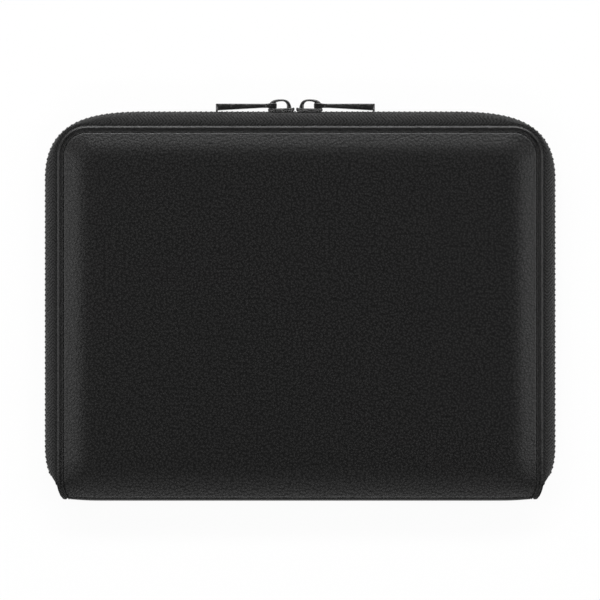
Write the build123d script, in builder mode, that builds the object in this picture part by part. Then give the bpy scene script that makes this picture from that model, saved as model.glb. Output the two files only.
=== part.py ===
"""Padded conference folder with a zip around three sides, closed and lying on its back cover."""

import os
from math import cos, radians, sin, sqrt

from build123d import *

os.makedirs("parts", exist_ok=True)

# Writing pad and the room round it
pad_length = 210.0
pad_width = 148.0
pad_end_room = 14.0
pad_spine_room = 22.0
pad_top_room = 13.4
card_thickness = 0.5
sheets_thickness = 4.5
sheet_clearance = 0.3
binding_width = 12.0
binding_thickness = 0.3

# Covers
cover_length = pad_length + 2 * pad_end_room
cover_depth = pad_spine_room + pad_width + pad_top_room
folder_thickness = 25.6
edge_round = 0.5
corner_radius = 12.3
leather_thickness = 1.2
padding_rise = 1.3
band_width = 3.0
shoulder_width = 6.5
padding_setback = 3.5
board_thickness = 1.5
board_inset = 5.0
lining_thickness = 0.6
lining_inset = 0.6
lining_rim = 1.0
smallest_corner = 1.0

# Spine
bend_radius = 6.0
spine_end_inset = 4.4
spine_end_run = 7.8
spine_board_margin = 0.6

# Zip tape
tape_thickness = 0.8
tape_hem = 4.5
tape_lip = 0.6
tape_rise = 4.1
tape_edge_gap = 2.0
tape_tail_length = 9.0
tape_tail_clearance = 0.6
tail_overlap = 0.3
tail_lean_along = 2.4
tail_lean_across = 2.2
tail_pull = 4.0

# Zip chain
chain_side_reach = 6.4
chain_top_reach = 7.3
zip_corner_along = 50.0
zip_corner_across = 32.8
zip_end_start = 26.9
zip_end_stop = 8.1
zip_end_tuck = 0.4
zip_end_lean_along = 3.9
zip_end_lean_across = 3.6
zip_end_pull = 9.2
tooth_pitch = 2.56
tooth_width = 1.4
tooth_depth = 2.4
tooth_length = 3.5
tooth_head_reach = 0.6
tooth_spread = 1.5
chain_end_margin = 4.2
stop_length = 2.2
stop_depth = 2.8
stop_gap = 0.2
stop_place = 1.3

# Sliders
slider_length = 13.0
nose_gap = 0.85
meeting_offset = 2.36
plate_gap = 2.8
plate_thickness = 1.1
tape_slot = 1.4
nose_half_width = 5.25
nose_half_channel = 4.55
tail_half_width = 4.1
tail_half_channel = 3.4
shoulder_start = 3.5
shoulder_end = 8.5
plate_corner = 1.2
plate_bevel = 0.3
post_start = 0.7
post_widest = 2.2
post_end = 4.6
post_start_half = 0.45
post_half = 0.65
post_end_half = 0.08
spread_start = 2.2
spread_end = 8.0

# Bails
bail_start = 1.6
bail_end = 12.55
bail_height = 4.65
bail_width = 2.4
window_start = 3.46
window_end = 10.57
window_height = 3.8

# Pulls
pull_length = 29.05
pull_pivot_height = 1.5
pull_bar_radius = 0.9
pull_bar_clearance = 0.12
eye_length = 4.5
eye_clearance = 0.2
pull_neck_half = 2.3
pull_tab_half = 3.6
pull_neck_run = 6.5
pull_flare_end = 14.0
pull_end_thickness = 3.15
pull_lip_length = 1.0
pull_lip_drop = 0.5
pull_corner = 1.4

# Pen loop
pen_loop_bore = 10.5
pen_loop_wall = 1.0
pen_loop_length = 25.0
pen_loop_base = 0.6

# Slotted panel that holds the pad
slot_panel_thickness = 0.6
slot_panel_length = 103.0
slot_panel_end_margin = 6.0
slot_panel_spine_margin = 11.7
slot_panel_top_margin = 5.7
panel_rim = 3.0

# Document pocket and card slots
pocket_end_margin = 7.0
pocket_spine_margin = 13.7
pocket_top_margin = 7.7
pocket_thickness = 0.8
pocket_depth = 0.5
slot_thickness = 0.6
slot_width = 92.0
slot_step = 14.0
slot_shortest = 52.0
slot_offset = 6.0

# Shares and counts
circle_share = 0.5523
zip_corner_side_share = 0.9
zip_corner_top_share = 0.53
spine_recess_share = 0.45
shoulder_shares = ((0.08, 0.45), (0.3, 0.78), (0.62, 0.95), (1.0, 1.0))
bail_tail_shares = ((0, 0.3), (0.15, 0.78), (0.56, 1))
bail_nose_shares = ((0.56, 1), (0.91, 0.78), (1, 0.35))
window_shares = ((0, 0.4), (0.5, 1), (1, 0.4))
bend_angles = (0, 15, 30, 45, 60, 75, 90)
tape_angles = (0, 35, 62, 90)
quarter_turn_angle = 90
tooth_taper_angle = 3

# Places worked out from the sizes
middle_height = folder_thickness / 2
spine_row = -cover_depth / 2
hinge_row = spine_row + bend_radius
band_level = padding_rise
skin_level = band_level + leather_thickness
board_level = skin_level + board_thickness
inside_level = board_level + lining_thickness
tape_level = skin_level + tape_thickness / 2
wall_level = tape_level + tape_rise
tape_edge_level = middle_height - tape_edge_gap
chain_row = cover_depth / 2 + chain_top_reach - tooth_depth / 2
chain_side = cover_length / 2 + chain_side_reach - tooth_depth / 2
end_row = spine_row + zip_end_stop
end_start_row = spine_row + zip_end_start
core_row = spine_row + leather_thickness
seat_row = core_row + padding_rise
meeting_place = -meeting_offset
middle_plane = Plane.XY.offset(middle_height)


def cover_outline(inset):
    """Plan of a cover inside its edge: round at the zip corners, drawn in where it meets the spine."""
    half = cover_length / 2 - inset
    top = cover_depth / 2 - inset
    low = spine_row + spine_end_run
    foot = half - spine_end_inset
    turn = max(corner_radius - inset, smallest_corner)
    pull = turn * (1 - circle_share)
    left_foot = Edge.make_bezier(
        (-foot, spine_row),
        (-half + spine_end_inset * (1 - circle_share), spine_row),
        (-half, low - spine_end_run * circle_share),
        (-half, low),
    )
    right_foot = Edge.make_bezier(
        (half, low),
        (half, low - spine_end_run * circle_share),
        (half - spine_end_inset * (1 - circle_share), spine_row),
        (foot, spine_row),
    )
    left_corner = Edge.make_bezier(
        (-half, top - turn),
        (-half, top - pull),
        (-half + pull, top),
        (-half + turn, top),
    )
    right_corner = Edge.make_bezier(
        (half - turn, top),
        (half - pull, top),
        (half, top - pull),
        (half, top - turn),
    )
    return [
        left_foot,
        Edge.make_line((-half, low), (-half, top - turn)),
        left_corner,
        Edge.make_line((-half + turn, top), (half - turn, top)),
        right_corner,
        Edge.make_line((half, top - turn), (half, low)),
        right_foot,
        Edge.make_line((foot, spine_row), (-foot, spine_row)),
    ]


def zip_run(share, shift):
    """Plan of the zip from end to end: share 0 runs along the cover's edge, 1 along the chain."""
    lip = cover_length / 2 + tape_lip
    half = lip + share * (chain_side - lip) + shift
    top_lip = cover_depth / 2 + tape_lip
    top = top_lip + share * (chain_row - top_lip) + shift
    turn = corner_radius + tape_lip
    along = turn + share * (zip_corner_along - tooth_depth / 2 - turn) + shift
    across = turn + share * (zip_corner_across - tooth_depth / 2 - turn) + shift
    tuck = share * (zip_end_tuck + tape_lip)
    end = lip - tuck + shift
    lean = end + share * zip_end_lean_along
    lean_row = end_row + zip_end_lean_across
    pull_row = end_start_row - zip_end_pull
    side_share = circle_share + share * (zip_corner_side_share - circle_share)
    top_share = circle_share + share * (zip_corner_top_share - circle_share)
    near_along = along * (1 - top_share)
    near_across = across * (1 - side_share)
    return [
        Edge.make_bezier((-end, end_row), (-lean, lean_row), (-half, pull_row), (-half, end_start_row)),
        Edge.make_line((-half, end_start_row), (-half, top - across)),
        Edge.make_bezier(
            (-half, top - across),
            (-half, top - near_across),
            (-half + near_along, top),
            (-half + along, top),
        ),
        Edge.make_line((-half + along, top), (half - along, top)),
        Edge.make_bezier(
            (half - along, top),
            (half - near_along, top),
            (half, top - near_across),
            (half, top - across),
        ),
        Edge.make_line((half, top - across), (half, end_start_row)),
        Edge.make_bezier((half, end_start_row), (half, pull_row), (lean, lean_row), (end, end_row)),
    ]


def zip_outline(share, shift):
    """The run above, closed across the folder at its ends."""
    run = zip_run(share, shift)
    return run + [Edge.make_line(run[-1] @ 1, run[0] @ 0)]


def spine_half(row):
    """Half the length of the leather at a row in the spine's rounded ends."""
    drop = min(max((spine_row + spine_end_run - row) / spine_end_run, 0), 1)
    return cover_length / 2 - spine_end_inset * (1 - sqrt(1 - drop * drop))


def skin_profile(half, angle):
    """Section of the leather where it rolls over the spine, as (along, radius) points: its border
    lies less deep towards the spine."""
    rise = padding_rise * (1 - (1 - spine_recess_share) * sin(radians(angle)) ** 2)
    band = bend_radius - rise
    edge = half - band_width
    core = edge - padding_setback
    right = [(half, band), (edge, band)]
    right += [(edge - x * shoulder_width, band + y * rise) for x, y in shoulder_shares]
    inner = [
        (core, bend_radius - leather_thickness),
        (core, band - leather_thickness),
        (half, band - leather_thickness),
    ]
    outer = right + [(-x, y) for x, y in reversed(right)]
    return outer + [(-x, y) for x, y in reversed(inner)] + inner


def lining_profile(half):
    """Section of the lining that follows the bend inside the leather."""
    core = half - band_width - padding_setback
    outer = bend_radius - leather_thickness
    inner = outer - lining_thickness
    return [(-core, outer), (core, outer), (core, inner), (-core, inner)]


def bend_plane(angle):
    """Plane across the spine bend, with its Y pointing away from the bend's axis."""
    turn = radians(angle)
    return Plane(origin=(0, hinge_row, bend_radius), x_dir=(1, 0, 0), z_dir=(0, cos(turn), -sin(turn)))


def bend_half(angle):
    """Half the length of the leather at an angle round the spine bend."""
    return spine_half(hinge_row - bend_radius * sin(radians(angle)))


# Back cover leather, padded in the middle and flat in its sewn border
with BuildPart() as back_leather_panel:
    with BuildSketch(Plane.XY.offset(skin_level)):
        make_face(cover_outline(0))
    with BuildSketch(Plane.XY.offset(band_level + edge_round)):
        make_face(cover_outline(0))
    with BuildSketch(Plane.XY.offset(band_level)):
        make_face(cover_outline(edge_round))
    loft(ruled=True)
    with BuildSketch(Plane.XY.offset(band_level)):
        make_face(cover_outline(band_width))
    for run_share, rise_share in shoulder_shares:
        with BuildSketch(Plane.XY.offset(band_level - rise_share * padding_rise)):
            make_face(cover_outline(band_width + run_share * shoulder_width))
    loft(ruled=True)
    with BuildSketch(Plane.XY.offset(leather_thickness)):
        make_face(cover_outline(band_width + padding_setback))
    extrude(amount=skin_level - leather_thickness, mode=Mode.SUBTRACT)
    with BuildSketch(Plane.XY):
        with Locations((0, hinge_row)):
            Rectangle(cover_length, cover_depth, align=(Align.CENTER, Align.MAX))
    extrude(amount=folder_thickness, mode=Mode.SUBTRACT)
back_leather_panel.part.label = "back_leather_panel"

# Padding in the hollow of the leather
with BuildPart() as back_foam_pad:
    with BuildSketch(Plane.XY.offset(leather_thickness)):
        make_face(cover_outline(band_width + padding_setback))
        with Locations((0, hinge_row + lining_rim)):
            Rectangle(cover_length, cover_depth, align=(Align.CENTER, Align.MAX), mode=Mode.SUBTRACT)
    extrude(amount=skin_level - leather_thickness)
back_foam_pad.part.label = "back_foam_pad"

# Stiff board behind the padding
with BuildPart() as back_board:
    with BuildSketch(Plane.XY.offset(skin_level)):
        make_face(cover_outline(board_inset))
        with Locations((0, hinge_row + lining_rim)):
            Rectangle(cover_length, cover_depth, align=(Align.CENTER, Align.MAX), mode=Mode.SUBTRACT)
    extrude(amount=board_thickness)
back_board.part.label = "back_board"

# Lining over the board, turned down to the tape at its edges and to the leather at the spine
with BuildPart() as back_lining:
    with BuildSketch(Plane.XY.offset(skin_level + tape_thickness)):
        make_face(cover_outline(lining_inset))
        with Locations((0, hinge_row)):
            Rectangle(cover_length, cover_depth, align=(Align.CENTER, Align.MAX), mode=Mode.SUBTRACT)
    extrude(amount=inside_level - skin_level - tape_thickness)
    with BuildSketch(Plane.XY.offset(skin_level)):
        make_face(cover_outline(board_inset))
        with Locations((0, hinge_row + lining_rim)):
            Rectangle(cover_length, cover_depth, align=(Align.CENTER, Align.MAX), mode=Mode.SUBTRACT)
    extrude(amount=board_thickness, mode=Mode.SUBTRACT)
    with BuildSketch(Plane.XY.offset(leather_thickness)):
        make_face(cover_outline(band_width + padding_setback))
        with Locations((0, hinge_row)):
            Rectangle(cover_length, cover_depth, align=(Align.CENTER, Align.MAX), mode=Mode.SUBTRACT)
        with Locations((0, hinge_row + lining_rim)):
            Rectangle(cover_length, cover_depth, align=(Align.CENTER, Align.MIN), mode=Mode.SUBTRACT)
    extrude(amount=board_level - leather_thickness)
back_lining.part.label = "back_lining"

# Zip tape: its hem lies under the cover's edge, then it curls out and up to the chain, and its ends
# turn in behind the spine
tail_start_along = cover_length / 2 - zip_end_tuck
tail_start_row = end_row + tail_overlap
tail_end_along = tail_start_along - tape_tail_length
tail_end_row = seat_row + lining_thickness + tape_tail_clearance + tape_thickness / 2
with BuildPart() as back_zip_tape:
    for angle in tape_angles:
        out_share = sin(radians(angle))
        up_share = cos(radians(angle))
        with BuildSketch(Plane.XY.offset(wall_level - (tape_rise + tape_thickness / 2) * up_share)):
            make_face(zip_outline(out_share, out_share * tape_thickness / 2))
    with BuildSketch(Plane.XY.offset(tape_edge_level)):
        make_face(zip_outline(1, tape_thickness / 2))
    loft(ruled=True)
    for angle in tape_angles:
        out_share = sin(radians(angle))
        up_share = cos(radians(angle))
        with BuildSketch(Plane.XY.offset(wall_level - (tape_rise - tape_thickness / 2) * up_share)):
            make_face(zip_outline(out_share, -out_share * tape_thickness / 2))
    with BuildSketch(Plane.XY.offset(tape_edge_level)):
        make_face(zip_outline(1, -tape_thickness / 2))
    loft(ruled=True, mode=Mode.SUBTRACT)
    with BuildSketch(Plane.XY.offset(skin_level)):
        make_face(cover_outline(tape_hem))
    extrude(amount=tape_edge_level - skin_level, mode=Mode.SUBTRACT)
    with BuildSketch(Plane.XY.offset(wall_level)):
        with BuildLine():
            tail = Bezier(
                (tail_start_along, tail_start_row),
                (tail_start_along - tail_lean_along, tail_start_row - tail_lean_across),
                (tail_end_along + tail_pull, tail_end_row),
                (tail_end_along, tail_end_row),
            )
        trace(line_width=tape_thickness)
        mirror(about=Plane.YZ)
    extrude(amount=tape_edge_level - wall_level)
back_zip_tape.part.label = "back_zip_tape"

with BuildPart() as front_zip_tape:
    mirror(back_zip_tape.part, about=middle_plane)
front_zip_tape.part.label = "front_zip_tape"

# The chain's teeth, spread where the slider posts part the two rows
chain = Wire(zip_run(1, 0))
chain_length = chain.length
tooth_count = int((chain_length - 2 * chain_end_margin) // tooth_pitch)


def spread_at(place):
    """How far the teeth stand apart at a place along the top of the zip."""
    from_nose = abs(place - meeting_place) - nose_gap / 2
    share = (spread_end - from_nose) / (spread_end - spread_start)
    return tooth_spread * min(max(share, 0), 1)


def tooth_plane(distance):
    """Foot of the back row's tooth at a distance along the chain."""
    spot = chain.position_at(distance, position_mode=PositionMode.LENGTH)
    along = chain.tangent_at(distance, position_mode=PositionMode.LENGTH)
    spread = spread_at(spot.X) if spot.Y > chain_row - tooth_depth / 2 else 0
    foot = middle_height - (tooth_length - tooth_head_reach + spread)
    return Plane(origin=(spot.X, spot.Y, foot), x_dir=along, z_dir=(0, 0, 1))


first_tooth = (chain_length - (tooth_count - 1) * tooth_pitch) / 2
back_tooth_planes = [tooth_plane(first_tooth + n * tooth_pitch) for n in range(tooth_count)]
shifted_tooth_planes = [
    tooth_plane(first_tooth + (n + 1 / 2) * tooth_pitch) for n in range(tooth_count - 1)
]

with BuildPart() as back_zip_teeth:
    with BuildSketch(*back_tooth_planes):
        Rectangle(tooth_width, tooth_depth)
    extrude(amount=tooth_length, taper=tooth_taper_angle, clean=False)
back_zip_teeth.part.label = "back_zip_teeth"

with BuildPart() as front_zip_teeth:
    with BuildSketch(*shifted_tooth_planes):
        Rectangle(tooth_width, tooth_depth)
    extrude(amount=tooth_length, taper=tooth_taper_angle, clean=False)
    mirror(about=middle_plane, mode=Mode.REPLACE)
front_zip_teeth.part.label = "front_zip_teeth"

# Metal stops that end each row of teeth
stop_planes = [
    tooth_plane(stop_place),
    tooth_plane(chain_length - stop_place),
]
with BuildPart() as back_zip_stops:
    with BuildSketch(*stop_planes):
        Rectangle(stop_length, stop_depth)
    extrude(amount=tooth_length - tooth_head_reach - stop_gap)
back_zip_stops.part.label = "back_zip_stops"

with BuildPart() as front_zip_stops:
    mirror(back_zip_stops.part, about=middle_plane)
front_zip_stops.part.label = "front_zip_stops"

# Leather and lining that roll round the spine's lower edge
with BuildPart() as back_hinge_leather:
    for angle in bend_angles:
        with BuildSketch(bend_plane(angle)):
            with BuildLine():
                Polyline(*skin_profile(bend_half(angle), angle), close=True)
            make_face()
    loft(ruled=True)
back_hinge_leather.part.label = "back_hinge_leather"

with BuildPart() as back_hinge_lining:
    for angle in bend_angles:
        with BuildSketch(bend_plane(angle)):
            with BuildLine():
                Polyline(*lining_profile(bend_half(angle)), close=True)
            make_face()
    loft(ruled=True)
back_hinge_lining.part.label = "back_hinge_lining"

with BuildPart() as front_hinge_leather:
    mirror(back_hinge_leather.part, about=middle_plane)
front_hinge_leather.part.label = "front_hinge_leather"

with BuildPart() as front_hinge_lining:
    mirror(back_hinge_lining.part, about=middle_plane)
front_hinge_lining.part.label = "front_hinge_lining"

# Flat of the spine
spine_flat = folder_thickness - 2 * bend_radius
spine_core = bend_half(quarter_turn_angle) - band_width - padding_setback
spine_lining_half = bend_half(quarter_turn_angle) - lining_inset

with BuildPart() as spine_leather:
    with BuildSketch(bend_plane(quarter_turn_angle)):
        with BuildLine():
            Polyline(*skin_profile(bend_half(quarter_turn_angle), quarter_turn_angle), close=True)
        make_face()
    extrude(amount=-spine_flat)
spine_leather.part.label = "spine_leather"

with BuildPart() as spine_board:
    with BuildSketch(Plane.XY.offset(bend_radius + spine_board_margin)):
        with Locations((0, core_row)):
            Rectangle(2 * spine_core, padding_rise, align=(Align.CENTER, Align.MIN))
    extrude(amount=spine_flat - 2 * spine_board_margin)
spine_board.part.label = "spine_board"

with BuildPart() as spine_lining:
    with BuildSketch(Plane.XY.offset(bend_radius)):
        with Locations((0, seat_row)):
            Rectangle(2 * spine_lining_half, lining_thickness, align=(Align.CENTER, Align.MIN))
        with Locations((0, core_row)):
            Rectangle(2 * spine_core, padding_rise, align=(Align.CENTER, Align.MIN))
    extrude(amount=spine_flat)
    with BuildSketch(Plane.XY.offset(bend_radius + spine_board_margin)):
        with Locations((0, core_row)):
            Rectangle(2 * spine_core, padding_rise, align=(Align.CENTER, Align.MIN))
    extrude(amount=spine_flat - 2 * spine_board_margin, mode=Mode.SUBTRACT)
spine_lining.part.label = "spine_lining"

# Elastic loop for a pen, sewn to the spine lining
loop_base_row = seat_row + lining_thickness
loop_outer = pen_loop_bore / 2 + pen_loop_wall
loop_row = loop_base_row + loop_outer
with BuildPart() as pen_loop:
    with BuildSketch(Plane.YZ):
        with Locations((loop_row, middle_height)):
            Circle(loop_outer)
        with Locations((loop_base_row, middle_height)):
            Rectangle(pen_loop_base, 2 * loop_outer, align=(Align.MIN, Align.CENTER))
        with Locations((loop_row, middle_height)):
            Circle(pen_loop_bore / 2, mode=Mode.SUBTRACT)
    extrude(amount=pen_loop_length / 2, both=True)
pen_loop.part.label = "pen_loop"

# Front cover, the mirror of the back
with BuildPart() as front_leather_panel:
    mirror(back_leather_panel.part, about=middle_plane)
front_leather_panel.part.label = "front_leather_panel"

with BuildPart() as front_foam_pad:
    mirror(back_foam_pad.part, about=middle_plane)
front_foam_pad.part.label = "front_foam_pad"

with BuildPart() as front_board:
    mirror(back_board.part, about=middle_plane)
front_board.part.label = "front_board"

with BuildPart() as front_lining:
    mirror(back_lining.part, about=middle_plane)
front_lining.part.label = "front_lining"

# Writing pad: card on the lining, sheets above, held by a slotted panel
pad_low = spine_row + pad_spine_room
card_top = inside_level + card_thickness
panel_top = card_top + slot_panel_thickness
sheets_top = panel_top + sheets_thickness

with BuildPart() as pad_backing_card:
    with BuildSketch(Plane.XY.offset(inside_level)):
        with Locations((0, pad_low)):
            Rectangle(pad_length, pad_width, align=(Align.CENTER, Align.MIN))
    extrude(amount=card_thickness)
pad_backing_card.part.label = "pad_backing_card"

panel_start = cover_length / 2 - slot_panel_end_margin - slot_panel_length
panel_low = spine_row + slot_panel_spine_margin
panel_depth = cover_depth - slot_panel_spine_margin - slot_panel_top_margin
with BuildPart() as pad_slot_panel:
    with BuildSketch(Plane.XY.offset(inside_level)):
        with Locations((panel_start, panel_low)):
            Rectangle(slot_panel_length, panel_depth, align=(Align.MIN, Align.MIN))
    extrude(amount=panel_top - inside_level)
    with BuildSketch(Plane.XY.offset(inside_level)):
        with Locations((panel_start, panel_low + panel_rim)):
            Rectangle(
                slot_panel_length - panel_rim,
                panel_depth - 2 * panel_rim,
                align=(Align.MIN, Align.MIN),
            )
    extrude(amount=card_thickness, mode=Mode.SUBTRACT)
    upright = pad_slot_panel.edges().filter_by(Axis.Z).sort_by(Axis.X)[-2:]
    fillet(upright, panel_rim)
pad_slot_panel.part.label = "pad_slot_panel"

with BuildPart() as pad_sheets:
    with BuildSketch(Plane.XY.offset(card_top)):
        with Locations((0, pad_low)):
            Rectangle(pad_length, pad_width, align=(Align.CENTER, Align.MIN))
    extrude(amount=sheets_top - card_top)
    with BuildSketch(Plane.XY.offset(card_top)):
        with Locations((panel_start - sheet_clearance, pad_low)):
            Rectangle(pad_length, pad_width, align=(Align.MIN, Align.MIN))
    extrude(amount=slot_panel_thickness, mode=Mode.SUBTRACT)
pad_sheets.part.label = "pad_sheets"

with BuildPart() as pad_binding_strip:
    with BuildSketch(Plane.XZ.offset(-pad_low)):
        with BuildLine():
            Polyline(
                (-pad_length / 2, inside_level),
                (-pad_length / 2 - binding_thickness, inside_level),
                (-pad_length / 2 - binding_thickness, sheets_top + binding_thickness),
                (-pad_length / 2 + binding_width, sheets_top + binding_thickness),
                (-pad_length / 2 + binding_width, sheets_top),
                (-pad_length / 2, sheets_top),
                close=True,
            )
        make_face()
    extrude(amount=-pad_width)
pad_binding_strip.part.label = "pad_binding_strip"

# Document pocket and card slots inside the front cover
front_inside = folder_thickness - inside_level
pocket_face = front_inside - pocket_depth - pocket_thickness
pocket_half = cover_length / 2 - pocket_end_margin
pocket_low = spine_row + pocket_spine_margin
pocket_span = cover_depth - pocket_spine_margin - pocket_top_margin
with BuildPart() as document_pocket:
    with BuildSketch(Plane.XY.offset(pocket_face)):
        with Locations((-pocket_half, pocket_low)):
            Rectangle(2 * pocket_half, pocket_span, align=(Align.MIN, Align.MIN))
    extrude(amount=front_inside - pocket_face)
    with BuildSketch(Plane.XY.offset(pocket_face + pocket_thickness)):
        with Locations((-pocket_half, pocket_low + panel_rim)):
            Rectangle(
                2 * pocket_half - panel_rim,
                pocket_span - 2 * panel_rim,
                align=(Align.MIN, Align.MIN),
            )
    extrude(amount=pocket_depth, mode=Mode.SUBTRACT)
document_pocket.part.label = "document_pocket"

with BuildPart() as card_slot_1:
    with BuildSketch(Plane.XY.offset(pocket_face)):
        with Locations((0, slot_offset)):
            Rectangle(slot_shortest + 2 * slot_step, slot_width, align=(Align.MAX, Align.CENTER))
    extrude(amount=-slot_thickness)
card_slot_1.part.label = "card_slot_1"

with BuildPart() as card_slot_2:
    with BuildSketch(Plane.XY.offset(pocket_face - slot_thickness)):
        with Locations((0, slot_offset)):
            Rectangle(slot_shortest + slot_step, slot_width, align=(Align.MAX, Align.CENTER))
    extrude(amount=-slot_thickness)
card_slot_2.part.label = "card_slot_2"

with BuildPart() as card_slot_3:
    with BuildSketch(Plane.XY.offset(pocket_face - 2 * slot_thickness)):
        with Locations((0, slot_offset)):
            Rectangle(slot_shortest, slot_width, align=(Align.MAX, Align.CENTER))
    extrude(amount=-slot_thickness)
card_slot_3.part.label = "card_slot_3"

# Left slider: two plates on a post, with flanges that close round the tapes
nose_place = meeting_place - nose_gap / 2
slider_plane = Plane(origin=(nose_place, chain_row, middle_height), x_dir=(-1, 0, 0), z_dir=(0, 1, 0))


def slider_outline(nose, tail, start, end):
    """Plan of a slider, wide at its nose and narrow at its tail."""
    top = [(start, nose), (shoulder_start, nose), (shoulder_end, tail), (end, tail)]
    return top + [(x, -y) for x, y in reversed(top)]


plate_outline = slider_outline(nose_half_width, tail_half_width, 0, slider_length)
channel_outline = slider_outline(
    nose_half_channel, tail_half_channel, -plate_corner, slider_length + plate_corner
)
post_outline = [
    (post_start, post_start_half),
    (post_widest, post_half),
    (post_end, post_end_half),
    (post_end, -post_end_half),
    (post_widest, -post_half),
    (post_start, -post_start_half),
]
flange_depth = (plate_gap - tape_slot) / 2

with BuildPart() as left_slider_body:
    with BuildSketch(slider_plane.offset(plate_gap / 2)):
        with BuildLine():
            Polyline(*plate_outline, close=True)
        make_face()
        fillet(vertices(), plate_corner)
    extrude(amount=plate_thickness)
    chamfer(faces().sort_by(Axis.Y)[-1].edges(), plate_bevel)
    with BuildSketch(slider_plane.offset(-plate_gap / 2)):
        with BuildLine():
            Polyline(*plate_outline, close=True)
        make_face()
        fillet(vertices(), plate_corner)
    extrude(amount=-plate_thickness)
    with BuildSketch(slider_plane.offset(tape_slot / 2), slider_plane.offset(-plate_gap / 2)):
        with BuildLine():
            Polyline(*plate_outline, close=True)
        make_face()
        fillet(vertices(), plate_corner)
        with BuildLine():
            Polyline(*channel_outline, close=True)
        make_face(mode=Mode.SUBTRACT)
    extrude(amount=flange_depth)
    with BuildSketch(slider_plane.offset(-plate_gap / 2)):
        with BuildLine():
            Polyline(*post_outline, close=True)
        make_face()
    extrude(amount=plate_gap)
left_slider_body.part.label = "left_slider_body"

# Bail arched over the outer plate
bail_row = chain_row + plate_gap / 2 + plate_thickness
bail_plane = Plane(origin=(nose_place, bail_row, middle_height), x_dir=(-1, 0, 0), z_dir=(0, 0, -1))
bail_span = bail_end - bail_start
window_span = window_end - window_start
with BuildPart() as left_slider_bail:
    with BuildSketch(bail_plane):
        with BuildLine():
            ThreePointArc(*[(bail_end - x * bail_span, y * bail_height) for x, y in bail_tail_shares])
            ThreePointArc(*[(bail_end - x * bail_span, y * bail_height) for x, y in bail_nose_shares])
            Polyline(
                (bail_start, bail_nose_shares[-1][1] * bail_height),
                (bail_start, 0),
                (bail_end, 0),
                (bail_end, bail_tail_shares[0][1] * bail_height),
            )
        make_face()
        with BuildLine():
            ThreePointArc(*[(window_start + x * window_span, y * window_height) for x, y in window_shares])
            Polyline(
                (window_end, window_shares[-1][1] * window_height),
                (window_end, 0),
                (window_start, 0),
                (window_start, window_shares[0][1] * window_height),
            )
        make_face(mode=Mode.SUBTRACT)
    extrude(amount=bail_width / 2, both=True)
left_slider_bail.part.label = "left_slider_bail"

# Left pull: an eye round the bail's outer leg, a neck and a tab that thickens to its lipped end
pivot_from_nose = window_end - pull_bar_clearance - pull_bar_radius
pivot_plane = Plane(
    origin=(nose_place - pivot_from_nose, bail_row + pull_pivot_height, middle_height),
    x_dir=(-1, 0, 0),
    z_dir=(0, 0, -1),
)
face_plane = Plane(
    origin=(nose_place - pivot_from_nose, bail_row + pull_pivot_height, middle_height),
    x_dir=(-1, 0, 0),
    z_dir=(0, 1, 0),
)
eye_half = bail_width / 2 + eye_clearance
pull_under = pull_bar_radius - pull_end_thickness
with BuildPart() as left_pull:
    with BuildSketch(pivot_plane):
        with BuildLine():
            Polyline(
                (0, pull_bar_radius),
                (pull_length, pull_bar_radius),
                (pull_length, pull_under - pull_lip_drop),
                (pull_length - pull_lip_length, pull_under - pull_lip_drop),
                (pull_length - pull_lip_length, pull_under),
                (pull_neck_run, -pull_bar_radius),
                (0, -pull_bar_radius),
                close=True,
            )
        make_face()
        Circle(pull_bar_radius)
    extrude(amount=pull_tab_half, both=True)
    with BuildSketch(face_plane.offset(-2 * pull_end_thickness)):
        with BuildLine():
            Polyline(
                (-pull_bar_radius, pull_neck_half),
                (pull_neck_run, pull_neck_half),
                (pull_flare_end, pull_tab_half),
                (pull_length, pull_tab_half),
                (pull_length, -pull_tab_half),
                (pull_flare_end, -pull_tab_half),
                (pull_neck_run, -pull_neck_half),
                (-pull_bar_radius, -pull_neck_half),
                close=True,
            )
        make_face()
        fillet(vertices().group_by(Axis.X)[0], pull_corner)
    extrude(amount=4 * pull_end_thickness, mode=Mode.INTERSECT)
    with BuildSketch(face_plane.offset(-2 * pull_end_thickness)):
        with Locations((-pull_bar_radius, 0)):
            Rectangle(eye_length + pull_bar_radius, 2 * eye_half, align=(Align.MIN, Align.CENTER))
    extrude(amount=4 * pull_end_thickness, mode=Mode.SUBTRACT)
    with BuildSketch(pivot_plane):
        Circle(pull_bar_radius)
    extrude(amount=pull_neck_half, both=True)
left_pull.part.label = "left_pull"

# Right slider and pull, the mirror of the left where the sliders meet
meeting_plane = Plane.YZ.offset(meeting_place)
with BuildPart() as right_slider_body:
    mirror(left_slider_body.part, about=meeting_plane)
right_slider_body.part.label = "right_slider_body"

with BuildPart() as right_slider_bail:
    mirror(left_slider_bail.part, about=meeting_plane)
right_slider_bail.part.label = "right_slider_bail"

with BuildPart() as right_pull:
    mirror(left_pull.part, about=meeting_plane)
right_pull.part.label = "right_pull"

export_step(back_leather_panel.part, "parts/back_leather_panel.step")
export_step(back_foam_pad.part, "parts/back_foam_pad.step")
export_step(back_board.part, "parts/back_board.step")
export_step(back_lining.part, "parts/back_lining.step")
export_step(back_zip_tape.part, "parts/back_zip_tape.step")
export_step(back_zip_teeth.part, "parts/back_zip_teeth.step")
export_step(back_zip_stops.part, "parts/back_zip_stops.step")
export_step(pad_backing_card.part, "parts/pad_backing_card.step")
export_step(pad_slot_panel.part, "parts/pad_slot_panel.step")
export_step(pad_sheets.part, "parts/pad_sheets.step")
export_step(pad_binding_strip.part, "parts/pad_binding_strip.step")
export_step(back_hinge_leather.part, "parts/back_hinge_leather.step")
export_step(back_hinge_lining.part, "parts/back_hinge_lining.step")
export_step(spine_leather.part, "parts/spine_leather.step")
export_step(spine_board.part, "parts/spine_board.step")
export_step(spine_lining.part, "parts/spine_lining.step")
export_step(pen_loop.part, "parts/pen_loop.step")
export_step(front_hinge_leather.part, "parts/front_hinge_leather.step")
export_step(front_hinge_lining.part, "parts/front_hinge_lining.step")
export_step(front_leather_panel.part, "parts/front_leather_panel.step")
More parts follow.
